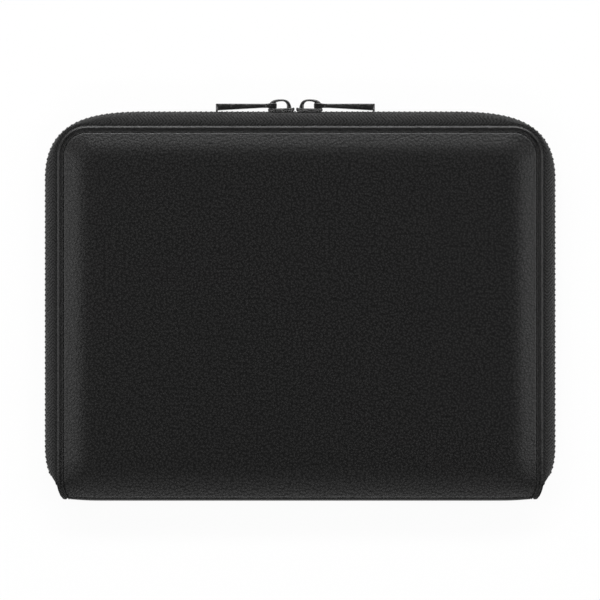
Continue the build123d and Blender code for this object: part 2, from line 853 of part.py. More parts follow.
export_step(front_foam_pad.part, "parts/front_foam_pad.step")
export_step(front_board.part, "parts/front_board.step")
export_step(front_lining.part, "parts/front_lining.step")
export_step(front_zip_tape.part, "parts/front_zip_tape.step")
export_step(front_zip_teeth.part, "parts/front_zip_teeth.step")
export_step(front_zip_stops.part, "parts/front_zip_stops.step")
export_step(document_pocket.part, "parts/document_pocket.step")
export_step(card_slot_1.part, "parts/card_slot_1.step")
export_step(card_slot_2.part, "parts/card_slot_2.step")
export_step(card_slot_3.part, "parts/card_slot_3.step")
export_step(left_slider_body.part, "parts/left_slider_body.step")
export_step(left_slider_bail.part, "parts/left_slider_bail.step")
export_step(left_pull.part, "parts/left_pull.step")
export_step(right_slider_body.part, "parts/right_slider_body.step")
export_step(right_slider_bail.part, "parts/right_slider_bail.step")
export_step(right_pull.part, "parts/right_pull.step")
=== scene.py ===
import math

import bmesh
import bpy
import numpy as np
from mathutils import Matrix, Vector


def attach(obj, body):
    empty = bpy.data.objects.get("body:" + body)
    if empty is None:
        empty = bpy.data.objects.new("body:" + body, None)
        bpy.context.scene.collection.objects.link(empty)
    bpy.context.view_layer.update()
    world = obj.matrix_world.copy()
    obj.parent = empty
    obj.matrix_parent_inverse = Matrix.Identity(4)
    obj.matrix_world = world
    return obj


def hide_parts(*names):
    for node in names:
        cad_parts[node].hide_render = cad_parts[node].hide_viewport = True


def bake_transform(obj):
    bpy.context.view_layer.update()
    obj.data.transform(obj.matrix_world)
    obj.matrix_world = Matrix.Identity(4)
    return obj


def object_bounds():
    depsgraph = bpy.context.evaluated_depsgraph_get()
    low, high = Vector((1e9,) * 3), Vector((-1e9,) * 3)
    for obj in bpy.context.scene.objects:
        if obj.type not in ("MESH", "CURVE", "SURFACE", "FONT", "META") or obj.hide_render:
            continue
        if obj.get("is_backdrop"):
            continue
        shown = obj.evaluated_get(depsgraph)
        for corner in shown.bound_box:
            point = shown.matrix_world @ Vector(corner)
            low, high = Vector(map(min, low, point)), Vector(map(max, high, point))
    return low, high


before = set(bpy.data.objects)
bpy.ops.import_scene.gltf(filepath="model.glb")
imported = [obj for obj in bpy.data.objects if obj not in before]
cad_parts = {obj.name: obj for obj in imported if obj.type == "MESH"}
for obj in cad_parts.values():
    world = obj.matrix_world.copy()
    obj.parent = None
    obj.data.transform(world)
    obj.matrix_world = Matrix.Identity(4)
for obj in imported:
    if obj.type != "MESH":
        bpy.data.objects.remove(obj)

MM = 0.001
cad_box = [list(corner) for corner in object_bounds()]

# ---------------------------------------------------------------- sizes, in mm, as in the model
HALF, TOP, SPINE, HINGE = 119.0, 91.7, -91.7, -85.7
BEND, THICK, MID = 6.0, 25.6, 12.8
CORNER, END_INSET, END_RUN = 14.8, 2.9, 8.6
SKIN, BAND, LEATHER = 2.5, 3.0, 1.2
FLAT = THICK - 2 * BEND
BOTTOM = HINGE - BEND * math.pi / 2 - FLAT / 2
CIRCLE = 0.5523
TEETH, PITCH = 226, 2.56
MEET = -2.36
NOSE = 0.425
CHAIN_ROW = 97.8
RISE, SPINE_RECESS = 1.3, 0.45
HOLD = 2.95
EASE_START, EASE_TURN, EASE_END = -70.5, math.radians(11.1), -89.7


# ---------------------------------------------------------------- mesh helpers
def make_object(name, points, faces, uv=None, smooth=True, outward=None):
    """Object from points in mm. uv gives one pair in metres for each point."""
    mesh = bpy.data.meshes.new(name)
    mesh.from_pydata([(x * MM, y * MM, z * MM) for x, y, z in points], [], faces)
    mesh.update()
    if uv is not None:
        layer = mesh.uv_layers.new(name="UVMap")
        flat = np.array(uv, np.float32)
        order = np.zeros(len(mesh.loops), np.int64)
        mesh.loops.foreach_get("vertex_index", order)
        layer.data.foreach_set("uv", flat[order].ravel())
    work = bmesh.new()
    work.from_mesh(mesh)
    bmesh.ops.recalc_face_normals(work, faces=work.faces)
    if outward is not None:
        work.faces.ensure_lookup_table()
        spot = Vector([c * MM for c in outward[0]])
        near = min(work.faces, key=lambda f: (f.calc_center_median() - spot).length)
        if near.normal.dot(Vector(outward[1])) < 0:
            bmesh.ops.reverse_faces(work, faces=work.faces)
    work.to_mesh(mesh)
    work.free()
    if smooth:
        mesh.polygons.foreach_set("use_smooth", [True] * len(mesh.polygons))
    obj = bpy.data.objects.new(name, mesh)
    bpy.context.scene.collection.objects.link(obj)
    return obj


def grid_faces(rows, columns, closed_rows=False, closed_columns=False, start=0):
    """Quads of a grid whose points come row by row."""
    faces = []
    for i in range(rows if closed_rows else rows - 1):
        for j in range(columns if closed_columns else columns - 1):
            a = start + i * columns + j
            b = start + i * columns + (j + 1) % columns
            c = start + ((i + 1) % rows) * columns + (j + 1) % columns
            d = start + ((i + 1) % rows) * columns + j
            faces.append((a, b, c, d))
    return faces


def bevel(obj, width, segments=3, angle=28):
    m = obj.modifiers.new("edges", "BEVEL")
    m.width = width * MM
    m.segments = segments
    m.limit_method = "ANGLE"
    m.angle_limit = math.radians(angle)
    m.harden_normals = False
    return m


def smooth_step(t):
    t = min(max(t, 0.0), 1.0)
    return t * t * (3 - 2 * t)


# ---------------------------------------------------------------- material helpers
class Look:
    """A node material built up call by call."""

    def __init__(self, name):
        self.mat = bpy.data.materials.new(name)
        self.mat.use_nodes = True
        self.tree = self.mat.node_tree
        self.shader = self.tree.nodes["Principled BSDF"]

    def node(self, kind, **values):
        n = self.tree.nodes.new(kind)
        for key, value in values.items():
            if hasattr(n, key):
                setattr(n, key, value)
            else:
                self.put(n.inputs[key.replace("_", " ")], value)
        return n

    def put(self, socket, value):
        if isinstance(value, bpy.types.NodeSocket):
            self.tree.links.new(value, socket)
        else:
            socket.default_value = value

    def math(self, operation, a, b=None, c=None):
        n = self.tree.nodes.new("ShaderNodeMath")
        n.operation = operation
        for i, v in enumerate((a, b, c)):
            if v is not None:
                self.put(n.inputs[i], v)
        return n.outputs[0]

    def uv(self, scale=1.0):
        n = self.tree.nodes.new("ShaderNodeUVMap")
        n.uv_map = "UVMap"
        return self.scaled(n.outputs[0], scale)

    def place(self, scale=1.0):
        n = self.tree.nodes.new("ShaderNodeTexCoord")
        return self.scaled(n.outputs["Object"], scale)

    def scaled(self, vector, scale):
        if scale == 1.0:
            return vector
        n = self.tree.nodes.new("ShaderNodeVectorMath")
        n.operation = "MULTIPLY"
        self.put(n.inputs[0], vector)
        n.inputs[1].default_value = scale if isinstance(scale, tuple) else (scale,) * 3
        return n.outputs[0]

    def noise(self, vector, scale, detail=3.0, rough=0.5):
        n = self.tree.nodes.new("ShaderNodeTexNoise")
        self.put(n.inputs["Vector"], vector)
        n.inputs["Scale"].default_value = scale
        n.inputs["Detail"].default_value = detail
        n.inputs["Roughness"].default_value = rough
        return n.outputs["Fac"]

    def cells(self, vector, scale, feature="F1", smooth=None, dimensions="3D"):
        n = self.tree.nodes.new("ShaderNodeTexVoronoi")
        n.voronoi_dimensions = dimensions
        n.feature = feature
        self.put(n.inputs["Vector"], vector)
        n.inputs["Scale"].default_value = scale
        if smooth is not None and feature == "SMOOTH_F1":
            n.inputs["Smoothness"].default_value = smooth
        return n.outputs["Distance"]

    def range(self, value, low, high, to_low, to_high):
        n = self.tree.nodes.new("ShaderNodeMapRange")
        for socket, v in zip(n.inputs[:5], (value, low, high, to_low, to_high)):
            self.put(socket, v)
        return n.outputs[0]

    def blend(self, factor, a, b):
        n = self.tree.nodes.new("ShaderNodeMix")
        n.data_type = "RGBA"
        self.put(n.inputs["Factor"], factor)
        self.put(n.inputs[6], a)
        self.put(n.inputs[7], b)
        return n.outputs[2]

    def bump(self, height, distance, strength=1.0, normal=None):
        n = self.tree.nodes.new("ShaderNodeBump")
        n.inputs["Strength"].default_value = strength
        n.inputs["Distance"].default_value = distance
        self.put(n.inputs["Height"], height)
        if normal is not None:
            self.put(n.inputs["Normal"], normal)
        return n.outputs[0]

    def set(self, **values):
        for key, value in values.items():
            self.put(self.shader.inputs[key.replace("_", " ")], value)
        return self.mat


def grey(v, warm=0.0):
    return (v * (1 + warm), v, v * (1 - warm), 1.0)


# ---------------------------------------------------------------- materials
def leather_look(name, tone, gloss, grain=1.0):
    """Black nappa leather: small rounded pebbles, fine creases, mottled finish, with painted shade in the valleys
    between pebbles.
    """
    m = Look(name)
    uv = m.uv()
    warp = m.noise(uv, 700.0, 2.0)
    shift = m.tree.nodes.new("ShaderNodeVectorMath")
    shift.operation = "MULTIPLY_ADD"
    spread = m.tree.nodes.new("ShaderNodeCombineXYZ")
    m.put(spread.inputs[0], warp)
    m.put(spread.inputs[1], m.noise(uv, 560.0, 2.0))
    m.put(shift.inputs[0], spread.outputs[0])
    shift.inputs[1].default_value = (0.0007, 0.0007, 0.0)
    m.put(shift.inputs[2], uv)
    bent = shift.outputs[0]
    pebble = m.cells(bent, 820.0, "SMOOTH_F1", 0.3, "2D")
    fine = m.cells(bent, 2100.0, "SMOOTH_F1", 0.4, "2D")
    crease = m.cells(bent, 300.0, "DISTANCE_TO_EDGE", None, "2D")
    crease = m.range(crease, 0.0, 0.1, 1.0, 0.0)
    broad = m.noise(uv, 38.0, 4.0, 0.55)
    height = m.math("MULTIPLY_ADD", fine, 0.2, pebble)
    height = m.math("MULTIPLY_ADD", crease, 0.05, height)
    height = m.math("MULTIPLY", height, -1.0)
    normal = m.bump(height, 0.00006 * grain, 0.85)
    colour = m.blend(m.range(broad, 0.3, 0.7, 0.0, 1.0), grey(tone * 2.9), grey(tone * 3.5, 0.02))
    # painted shade: the valleys between the pebbles are darkened in the colour
    colour = m.blend(m.range(pebble, 0.1, 0.45, 0.0, 1.0), colour, grey(tone * 0.1))
    rough = m.range(m.noise(uv, 900.0, 3.0), 0.3, 0.7, gloss - 0.04, gloss + 0.05)
    return m.set(Base_Color=colour, Roughness=rough, Normal=normal, Specular_IOR_Level=0.335)


def tape_look():
    """Woven zip tape with herringbone ribs, painted light and shade on the ribs and painted shade towards the hem by
    the cover's edge.
    """
    m = Look("zip_tape_weave")
    split = m.tree.nodes.new("ShaderNodeSeparateXYZ")
    m.put(split.inputs[0], m.uv())
    along, across = split.outputs[0], split.outputs[1]
    fold = m.math("PINGPONG", across, 0.0031)
    turn = m.math("MULTIPLY", m.math("ADD", along, fold), 2 * math.pi / 0.0017)
    rib = m.math("SINE", turn)
    rib = m.math("MULTIPLY_ADD", rib, 0.5, 0.5)
    pick = m.math("SINE", m.math("MULTIPLY", across, 2 * math.pi / 0.00042))
    yarn = m.math("MULTIPLY_ADD", pick, 0.16, rib)
    fuzz = m.noise(m.uv(), 1300.0, 3.0, 0.6)
    height = m.math("MULTIPLY_ADD", fuzz, 0.5, yarn)
    normal = m.bump(height, 0.0005, 0.9)
    # painted light and shade: the ribs' crests are lighter and their troughs darker in the colour
    colour = m.blend(m.range(rib, 0.1, 0.9, 0.0, 1.0), grey(0.0023), grey(0.045))
    colour = m.blend(m.range(fuzz, 0.45, 0.7, 0.0, 0.8), colour, grey(0.078))
    # painted shade: the tape darkens towards the hem, where the cover's edge shades it
    colour = m.blend(m.range(across, 0.0045, 0.0098, 0.74, 0.0), colour, grey(0.004))
    return m.set(
        Base_Color=colour, Roughness=0.88, Normal=normal, Specular_IOR_Level=0.28, Sheen_Weight=0.05,
        Sheen_Roughness=0.5,
    )


def metal_look(name, tone, rough, wear=0.0):
    """Black nickel plated metal with fine polish marks and paler worn edges."""
    m = Look(name)
    spot = m.place()
    smudge = m.noise(spot, 900.0, 4.0, 0.6)
    marks = m.noise(m.scaled(spot, (300.0, 4200.0, 4200.0)), 1.0, 2.0)
    roughness = m.range(smudge, 0.25, 0.75, rough - 0.06, rough + 0.1)
    normal = m.bump(marks, 0.000018, 0.5)
    geometry = m.tree.nodes.new("ShaderNodeNewGeometry")
    edge = m.range(geometry.outputs["Pointiness"], 0.51, 0.58, 0.0, wear)
    colour = m.blend(m.range(smudge, 0.35, 0.65, 0.0, 1.0), grey(tone * 0.6), grey(tone * 1.5, 0.015))
    colour = m.blend(edge, colour, grey(tone * 4.0))
    return m.set(Base_Color=colour, Metallic=1.0, Roughness=roughness, Normal=normal)


def thread_look(name="thread_twist", tone=0.0035):
    """Twisted polyester thread."""
    m = Look(name)
    split = m.tree.nodes.new("ShaderNodeSeparateXYZ")
    m.put(split.inputs[0], m.place())
    run = m.math("ADD", m.math("ADD", split.outputs[0], split.outputs[1]), split.outputs[2])
    twist = m.math("SINE", m.math("MULTIPLY", run, 2 * math.pi / 0.00045))
    normal = m.bump(twist, 0.00005, 0.7)
    colour = m.blend(m.range(twist, -1.0, 1.0, 0.0, 1.0), grey(tone * 0.6), grey(tone * 1.6))
    return m.set(Base_Color=colour, Roughness=0.6, Normal=normal, Specular_IOR_Level=0.4, Sheen_Weight=0.1)


def lining_look(name, tone, pitch=0.00055, warm=0.01):
    """Plain-weave lining cloth."""
    m = Look(name)
    split = m.tree.nodes.new("ShaderNodeSeparateXYZ")
    m.put(split.inputs[0], m.uv())
    warp = m.math("SINE", m.math("MULTIPLY", split.outputs[0], 2 * math.pi / pitch))
    weft = m.math("SINE", m.math("MULTIPLY", split.outputs[1], 2 * math.pi / pitch))
    weave = m.math("MULTIPLY", warp, weft)
    slub = m.noise(m.scaled(m.uv(), (60.0, 900.0, 1.0)), 1.0, 3.0)
    height = m.math("MULTIPLY_ADD", slub, 0.6, weave)
    normal = m.bump(height, 0.00006, 0.8)
    broad = m.noise(m.uv(), 25.0, 3.0)
    colour = m.blend(m.range(weave, -1.0, 1.0, 0.0, 1.0), grey(tone * 0.7, warm), grey(tone * 1.3, warm))
    colour = m.blend(m.range(broad, 0.3, 0.7, 0.0, 0.35), colour, grey(tone * 0.75, warm))
    return m.set(Base_Color=colour, Roughness=0.82, Normal=normal, Sheen_Weight=0.15, Specular_IOR_Level=0.3)


def elastic_look():
    """Ribbed elastic."""
    m = Look("elastic_rib")
    split = m.tree.nodes.new("ShaderNodeSeparateXYZ")
    m.put(split.inputs[0], m.uv())
    rib = m.math("SINE", m.math("MULTIPLY", split.outputs[0], 2 * math.pi / 0.0009))
    knit = m.math("SINE", m.math("MULTIPLY", split.outputs[1], 2 * math.pi / 0.0006))
    height = m.math("MULTIPLY_ADD", knit, 0.3, rib)
    normal = m.bump(height, 0.00012, 0.8)
    colour = m.blend(m.range(height, -1.0, 1.0, 0.0, 1.0), grey(0.008), grey(0.022))
    return m.set(Base_Color=colour, Roughness=0.8, Normal=normal, Sheen_Weight=0.15)


def paper_look(name, tone, rules=False):
    """Paper: faint fibre, painted shade lines between the pages on the sides of a stack and ruled lines on the top
    page.
    """
    m = Look(name)
    spot = m.place()
    split = m.tree.nodes.new("ShaderNodeSeparateXYZ")
    m.put(split.inputs[0], spot)
    fibre = m.noise(spot, 900.0, 4.0, 0.6)
    colour = m.blend(m.range(fibre, 0.3, 0.7, 0.0, 1.0), grey(tone * 0.97, 0.012), grey(tone, 0.012))
    pages = m.math("SINE", m.math("MULTIPLY", split.outputs[2], 2 * math.pi / 0.00022))
    geometry = m.tree.nodes.new("ShaderNodeNewGeometry")
    facing = m.tree.nodes.new("ShaderNodeSeparateXYZ")
    m.put(facing.inputs[0], geometry.outputs["True Normal"])
    upright = m.math("LESS_THAN", m.math("ABSOLUTE", facing.outputs[2]), 0.5)
    # painted shade: dark lines where the gaps between the sheets would be shaded
    lines = m.math("MULTIPLY", m.range(pages, -1.0, -0.2, 0.35, 0.0), upright)
    colour = m.blend(lines, colour, grey(tone * 0.45))
    if rules:
        step = m.math("FRACT", m.math("DIVIDE", split.outputs[1], 0.008))
        rule = m.math("LESS_THAN", m.math("ABSOLUTE", m.math("SUBTRACT", step, 0.5)), 0.018)
        flat = m.math("SUBTRACT", 1.0, upright)
        colour = m.blend(m.math("MULTIPLY", m.math("MULTIPLY", rule, flat), 0.55), colour, (0.36, 0.42, 0.5, 1))
    normal = m.bump(fibre, 0.00002, 0.6)
    return m.set(Base_Color=colour, Roughness=0.78, Normal=normal, Specular_IOR_Level=0.3)


def board_look(name, tone, warm=0.2):
    m = Look(name)
    fibre = m.noise(m.place(), 500.0, 5.0, 0.65)
    colour = m.blend(m.range(fibre, 0.3, 0.7, 0.0, 1.0), grey(tone * 0.8, warm), grey(tone, warm))
    return m.set(Base_Color=colour, Roughness=0.85, Normal=m.bump(fibre, 0.00004, 0.7))


leather = leather_look("leather_black", 0.0038, 0.33)
leather_inside = leather_look("leather_inside", 0.017, 0.55, 0.7)
tape = tape_look()
teeth_metal = metal_look("teeth_metal", 0.031, 0.4, 0.3)
slider_metal = metal_look("slider_metal", 0.06, 0.2, 0.2)
thread = thread_look()
lining = lining_look("lining_cloth", 0.028)
elastic = elastic_look()
paper = paper_look("pad_paper", 0.8, True)
card = board_look("pad_card", 0.3)
board = board_look("stiff_board", 0.16)
binding = lining_look("binding_cloth", 0.02, 0.0008)


# ---------------------------------------------------------------- the skin's own plan and folds
EASE_RADIUS = (EASE_START - EASE_END) / math.sin(EASE_TURN)
ROLL_RADIUS = (EASE_END - SPINE) / (1 - math.sin(EASE_TURN))
EASE_LENGTH = EASE_RADIUS * EASE_TURN
ROLL_LENGTH = ROLL_RADIUS * (math.pi / 2 - EASE_TURN)
ROLL_TOP = THICK - EASE_RADIUS * (1 - math.cos(EASE_TURN))
ROLL_FOOT = ROLL_TOP - ROLL_RADIUS * math.cos(EASE_TURN)
SKIN_STRETCH = (EASE_LENGTH + ROLL_LENGTH + ROLL_FOOT - MID) / (EASE_START - BOTTOM)


def section(s):
    """Row, height and turn of the padded skin's outer face: it slopes gently, then rolls over the edge."""
    run = (EASE_START - s) * SKIN_STRETCH
    if run <= 0:
        return s, THICK, 0.0
    if run <= EASE_LENGTH:
        turn = run / EASE_RADIUS
        return EASE_START - EASE_RADIUS * math.sin(turn), THICK - EASE_RADIUS * (1 - math.cos(turn)), turn
    run -= EASE_LENGTH
    if run <= ROLL_LENGTH:
        turn = EASE_TURN + run / ROLL_RADIUS
        row = EASE_END - ROLL_RADIUS * (math.sin(turn) - math.sin(EASE_TURN))
        return row, ROLL_TOP - ROLL_RADIUS * (math.cos(EASE_TURN) - math.cos(turn)), turn
    return SPINE, ROLL_FOOT - (run - ROLL_LENGTH), math.pi / 2


def half_at(s):
    """Half the cover's length at a place of the skin laid flat, drawn in at the spine."""
    drop = min(max((SPINE + END_RUN - section(s)[0]) / END_RUN, 0), 1)
    return HALF - END_INSET * drop ** 1.8


def folded(x, s, depth, front, shallow=True):
    """Where a point of the skin laid flat comes to lie, depth mm below its outer face."""
    if shallow:
        row, height, turn = section(s)
        flatter = (1 - SPINE_RECESS) * math.sin(turn) ** 2 + 0.3 * smooth_step((-74 - row) / 12) * math.cos(turn)
        depth -= flatter * min(depth, RISE)
        y, z = row + depth * math.sin(turn), height - depth * math.cos(turn)
        return (x, y, z if front else THICK - z)
    turn = (HINGE - s) / BEND
    if turn <= 0:
        y, z = s, THICK - depth
    elif turn <= math.pi / 2:
        reach = BEND - depth
        y, z = HINGE - reach * math.sin(turn), THICK - BEND + reach * math.cos(turn)
    else:
        y, z = SPINE + depth, THICK - BEND - (turn - math.pi / 2) * BEND
    return (x, y, z if front else THICK - z)


def rows_between(*runs):
    """Row places from (start, end, steps) runs that follow on."""
    rows = [runs[0][0]]
    for low, high, steps in runs:
        rows += [low + (high - low) * k / steps for k in range(1, steps + 1)]
    return rows


SIDE_ROWS = rows_between(
    (BOTTOM, -93.6, 5), (-93.6, -89.2, 12), (-89.2, -70.2, 13), (-70.2, TOP - CORNER, 55),
)
CORNER_STEPS, TOP_STEPS = 12, 80


def plan_ring(inset):
    """Open ring of the cover's plan, inset mm inside its edge, from the spine round to the spine."""
    turn = CORNER - inset if inset < 3.8 else CORNER - 3.8 - 0.42 * (inset - 3.8)
    start, end = TOP - CORNER, TOP - inset - turn
    left = []
    for s in SIDE_ROWS:
        row = s if s < 40 else 40 + (s - 40) * (end - 40) / (start - 40)
        left.append((-(half_at(row) - inset), row))
    for k in range(1, CORNER_STEPS):
        a = math.pi / 2 * k / CORNER_STEPS
        left.append((-(HALF - inset - turn) - turn * math.cos(a), end + turn * math.sin(a)))
    reach = HALF - inset - turn
    top = [(-reach + 2 * reach * k / TOP_STEPS, TOP - inset) for k in range(TOP_STEPS + 1)]
    return left + top + [(-x, s) for x, s in reversed(left)]


def panel(name, profile, front, inner_depth, outward_z):
    """Skin panel from the rim profile, (inset, depth) pairs, and a filled middle."""
    points, uv, faces = [], [], []
    run = [0.0]
    for (i0, d0), (i1, d1) in zip(profile, profile[1:]):
        run.append(run[-1] + math.hypot(i1 - i0, d1 - d0))
    last = run[-1]
    for (inset, depth), travelled in zip(profile, run):
        flat_inset = profile[-1][0] - (last - travelled)
        for (x, s), (u, v) in zip(plan_ring(inset), plan_ring(min(flat_inset, profile[-1][0]))):
            points.append(folded(x, s, depth, front))
            uv.append((u * MM, v * MM))
    count = len(plan_ring(0))
    faces += grid_faces(len(profile), count)
    ring = plan_ring(profile[-1][0])
    base = (len(profile) - 1) * count
    sides = len(SIDE_ROWS) - 1 + CORNER_STEPS // 2
    across = count - 1 - 2 * sides
    left = ring[: sides + 1]
    right = list(reversed(ring[-(sides + 1):]))
    top = ring[sides: sides + across + 1]
    index = {}
    for i in range(sides + 1):
        index[i, 0] = base + i
        index[i, across] = base + count - 1 - i
    for j in range(across + 1):
        index[sides, j] = base + sides + j
    low_s, high_s = left[0][1], left[-1][1]
    for i in range(sides):
        v = (left[i][1] - low_s) / (high_s - low_s)
        for j in range(1, across):
            u = (top[j][0] - top[0][0]) / (top[-1][0] - top[0][0])
            x = left[i][0] + (right[i][0] - left[i][0]) * u
            s = left[i][1] + v * (top[j][1] - high_s)
            x += v * (top[j][0] - (left[-1][0] + (right[-1][0] - left[-1][0]) * u))
            index[i, j] = len(points)
            points.append(folded(x, s, inner_depth(x, s), front))
            uv.append((x * MM, s * MM))
    for i in range(sides):
        for j in range(across):
            faces.append((index[i, j], index[i, j + 1], index[i + 1, j + 1], index[i + 1, j]))
    face = THICK if front else 0.0
    return make_object(name, points, faces, uv, True, ((0, 0, face), (0, 0, outward_z)))


def from_edge(x, s):
    """Distance of a place from the nearest edge of the cover."""
    return min(half_at(s) - abs(x), TOP - s)


# ---------------------------------------------------------------- leather skins
SKIN_PROFILE = [
    (6.5, 2.5), (3.0, 2.5), (1.2, 2.5), (0.5, 2.47), (0.17, 2.3), (0.03, 2.05), (0.0, 1.82), (0.03, 1.66),
    (0.1, 1.53), (0.22, 1.44), (0.5, 1.345), (0.8, 1.24), (1.05, 1.16), (1.25, 1.125), (1.6, 1.13), (1.75, 1.2),
    (1.85, 1.45), (2.0, 1.66), (2.2, 1.74), (2.6, 1.76), (3.1, 1.76), (3.34, 1.7), (3.46, 1.53), (3.58, 1.4),
    (3.8, 1.31), (4.4, 1.205), (5.2, 1.063), (6.1, 0.905), (7.0, 0.745), (7.8, 0.604), (8.5, 0.484), (9.5, 0.322),
    (10.5, 0.178), (11.5, 0.053), (12.5, -0.05), (13.5, -0.133), (14.5, -0.195), (15.5, -0.237), (17.0, -0.274), (19.0, -0.308), (22.0, -0.332),
]
PAD_START = 24


def pad_profile(front):
    """Rim profile of a cover: the back one carries the folder's weight, so its pad stands less proud."""
    if front:
        return SKIN_PROFILE
    foot = SKIN_PROFILE[PAD_START][1]
    share = foot / (foot - SKIN_PROFILE[-1][1])
    return SKIN_PROFILE[:PAD_START] + [(i, foot - (foot - d) * share) for i, d in SKIN_PROFILE[PAD_START:]]


for side, front in (("front", True), ("back", False)):
    profile = pad_profile(front)
    skin = panel(side + "_skin", profile, front, lambda x, s: profile[-1][1], 1 if front else -1)
    skin.data.materials.append(leather)
    level = THICK if front else 0.0
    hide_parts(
        side + "_leather_panel", side + "_foam_pad", side + "_hinge_leather", "spine_leather"
    )
    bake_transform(skin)


# ---------------------------------------------------------------- stitching in the groove of the border
def resampled(path, pitch):
    """Places along a run of points, pitch apart and centred, each with its heading."""
    path = [Vector(p) for p in path]
    lengths = [0.0]
    for a, b in zip(path, path[1:]):
        lengths.append(lengths[-1] + (b - a).length)
    count = int(lengths[-1] // pitch)
    start = (lengths[-1] - (count - 1) * pitch) / 2
    found, k = [], 0
    for n in range(count):
        at = start + n * pitch
        while k < len(path) - 2 and lengths[k + 1] < at:
            k += 1
        step = path[k + 1] - path[k]
        found.append((path[k] + step * ((at - lengths[k]) / step.length), step.normalized()))
    return found


def capsule(points, faces, centre, heading, up, length, radius, sides=6, lift=0.0):
    """Adds one stitch: a rounded thread that dips at both ends."""
    side = heading.cross(up).normalized()
    up = side.cross(heading).normalized()
    start = len(points)
    stations = ((-0.5, 0.25, -0.9), (-0.42, 0.8, -0.35), (-0.2, 1.0, 0.0), (0.2, 1.0, 0.0),
                (0.42, 0.8, -0.35), (0.5, 0.25, -0.9))
    for share, size, drop in stations:
        middle = centre + heading * (share * length) + up * (drop * radius + lift)
        for k in range(sides):
            a = 2 * math.pi * k / sides
            points.append(tuple(middle + (side * math.cos(a) + up * math.sin(a)) * (radius * size)))
    faces += grid_faces(len(stations), sides, False, True, start)
    faces.append(tuple(start + k for k in range(sides)))
    faces.append(tuple(start + (len(stations) - 1) * sides + k for k in range(sides)))


for side, front in (("front", True), ("back", False)):
    points, faces = [], []
    flat_path = plan_ring(HOLD)
    spots = resampled([(x, s, 0.0) for x, s in flat_path], 3.2)
    for spot, heading in spots:
        here = Vector(folded(spot.x, spot.y, 1.62, front))
        above = Vector(folded(spot.x, spot.y, 0.62, front))
        ahead = Vector(folded(spot.x + heading.x * 0.2, spot.y + heading.y * 0.2, 1.62, front))
        capsule(points, faces, here, (ahead - here).normalized(), (above - here).normalized(), 2.5, 0.27)
    stitches = make_object(side + "_stitching", points, faces)
    stitches.data.materials.append(thread)
    level = THICK if front else 0.0
    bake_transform(stitches)


# ---------------------------------------------------------------- the zip's run
def bezier(p0, p1, p2, p3, steps):
    out = []
    for k in range(1, steps + 1):
        t = k / steps
        a, b, c, d = (1 - t) ** 3, 3 * t * (1 - t) ** 2, 3 * t * t * (1 - t), t ** 3
        out.append(tuple(a * w + b * x + c * y + d * z for w, x, y, z in zip(p0, p1, p2, p3)))
    return out


def line(p0, p1, steps):
    return [tuple(a + (b - a) * k / steps for a, b in zip(p0, p1)) for k in range(1, steps + 1)]


def zip_path(share, shift, finer=1):
    """Left half of the zip's run and its mirror, from the left end to the right end."""
    lip, top_lip, turn = 119.6, 92.3, 12.9
    half = lip + share * (124.2 - lip) + shift
    top = top_lip + share * (CHAIN_ROW - top_lip) + shift
    along = turn + share * (48.8 - turn) + shift
    across = turn + share * (31.6 - turn) + shift
    end = lip - share * 1.0 + shift
    lean = end + share * 3.9
    near_along = along * (1 - CIRCLE - share * (0.53 - CIRCLE))
    near_across = across * (1 - CIRCLE - share * (0.9 - CIRCLE))
    left = [(-end, -83.6)]
    left += bezier((-end, -83.6), (-lean, -80.0), (-half, -74.0), (-half, -64.8), 12 * finer)
    left += line((-half, -64.8), (-half, top - across), 50 * finer)
    left += bezier(
        (-half, top - across), (-half, top - near_across), (-half + near_along, top), (-half + along, top),
        24 * finer,
    )
    left += line((-half + along, top), (0, top), 34 * finer)
    return left + [(-x, y) for x, y in reversed(left[:-1])]


chain = zip_path(1, 0, 6)
chain_run = [0.0]
for a, b in zip(chain, chain[1:]):
    chain_run.append(chain_run[-1] + math.hypot(b[0] - a[0], b[1] - a[1]))
CHAIN = chain_run[-1]


def on_chain(distance):
    """Place and heading at a distance along the chain."""
    k = int(np.searchsorted(chain_run, distance)) - 1
    k = min(max(k, 0), len(chain) - 2)
    a, b = chain[k], chain[k + 1]
    share = (distance - chain_run[k]) / (chain_run[k + 1] - chain_run[k])
    step = Vector((b[0] - a[0], b[1] - a[1], 0)).normalized()
    return Vector((a[0] + (b[0] - a[0]) * share, a[1] + (b[1] - a[1]) * share, 0)), step


def parted(x):
    """How far the sliders' posts part the teeth at a place on the top side."""
    share = (8.0 - (abs(x - MEET) - NOSE)) / (8.0 - 2.2)
    return 1.5 * min(max(share, 0), 1)


# ---------------------------------------------------------------- zip tapes
def tape_stations():
    """(share, outward shift, height, thickness direction) from the hem to the edge."""
    rows = [(0.0, -5.1, 2.5, 3.3), (0.0, -3.0, 2.5, 3.3), (0.0, -1.2, 2.5, 3.3)]
    stations = []
    for share, shift, low, high in rows:
        stations.append(((share, shift, low), (share, shift, high)))
    for k in range(10):
        a = math.pi / 2 * k / 9
        out = math.sin(a)
        rise = 4.1
        outer = (out, 0.4 * out, 7.0 - (rise + 0.4) * math.cos(a))
        inner = (out, -0.4 * out, 7.0 - (rise - 0.4) * math.cos(a))
        stations.append((outer, inner))
    for z in (8.4, 9.7, 10.4):
        stations.append(((1, 0.4, z), (1, -0.4, z)))
    stations.append(((1, 0.28, 10.72), (1, -0.28, 10.72)))
    return stations


def tape_run(path):
    """Distance along the tape, the same at every place across it: x on the top side, y on the ends."""
    half = len(path) // 2
    ends, corner = 62, 86
    marks = []
    for k in range(half + 1):
        x, y = path[k]
        if k <= ends:
            marks.append(y - 203.0)
        elif k >= corner:
            marks.append(x)
        else:
            share = (k - ends) / (corner - ends)
            marks.append((path[ends][1] - 203.0) * (1 - share) + path[corner][0] * share)
    return marks + [-m for m in reversed(marks[:-1])]


TAIL_STEPS = 10


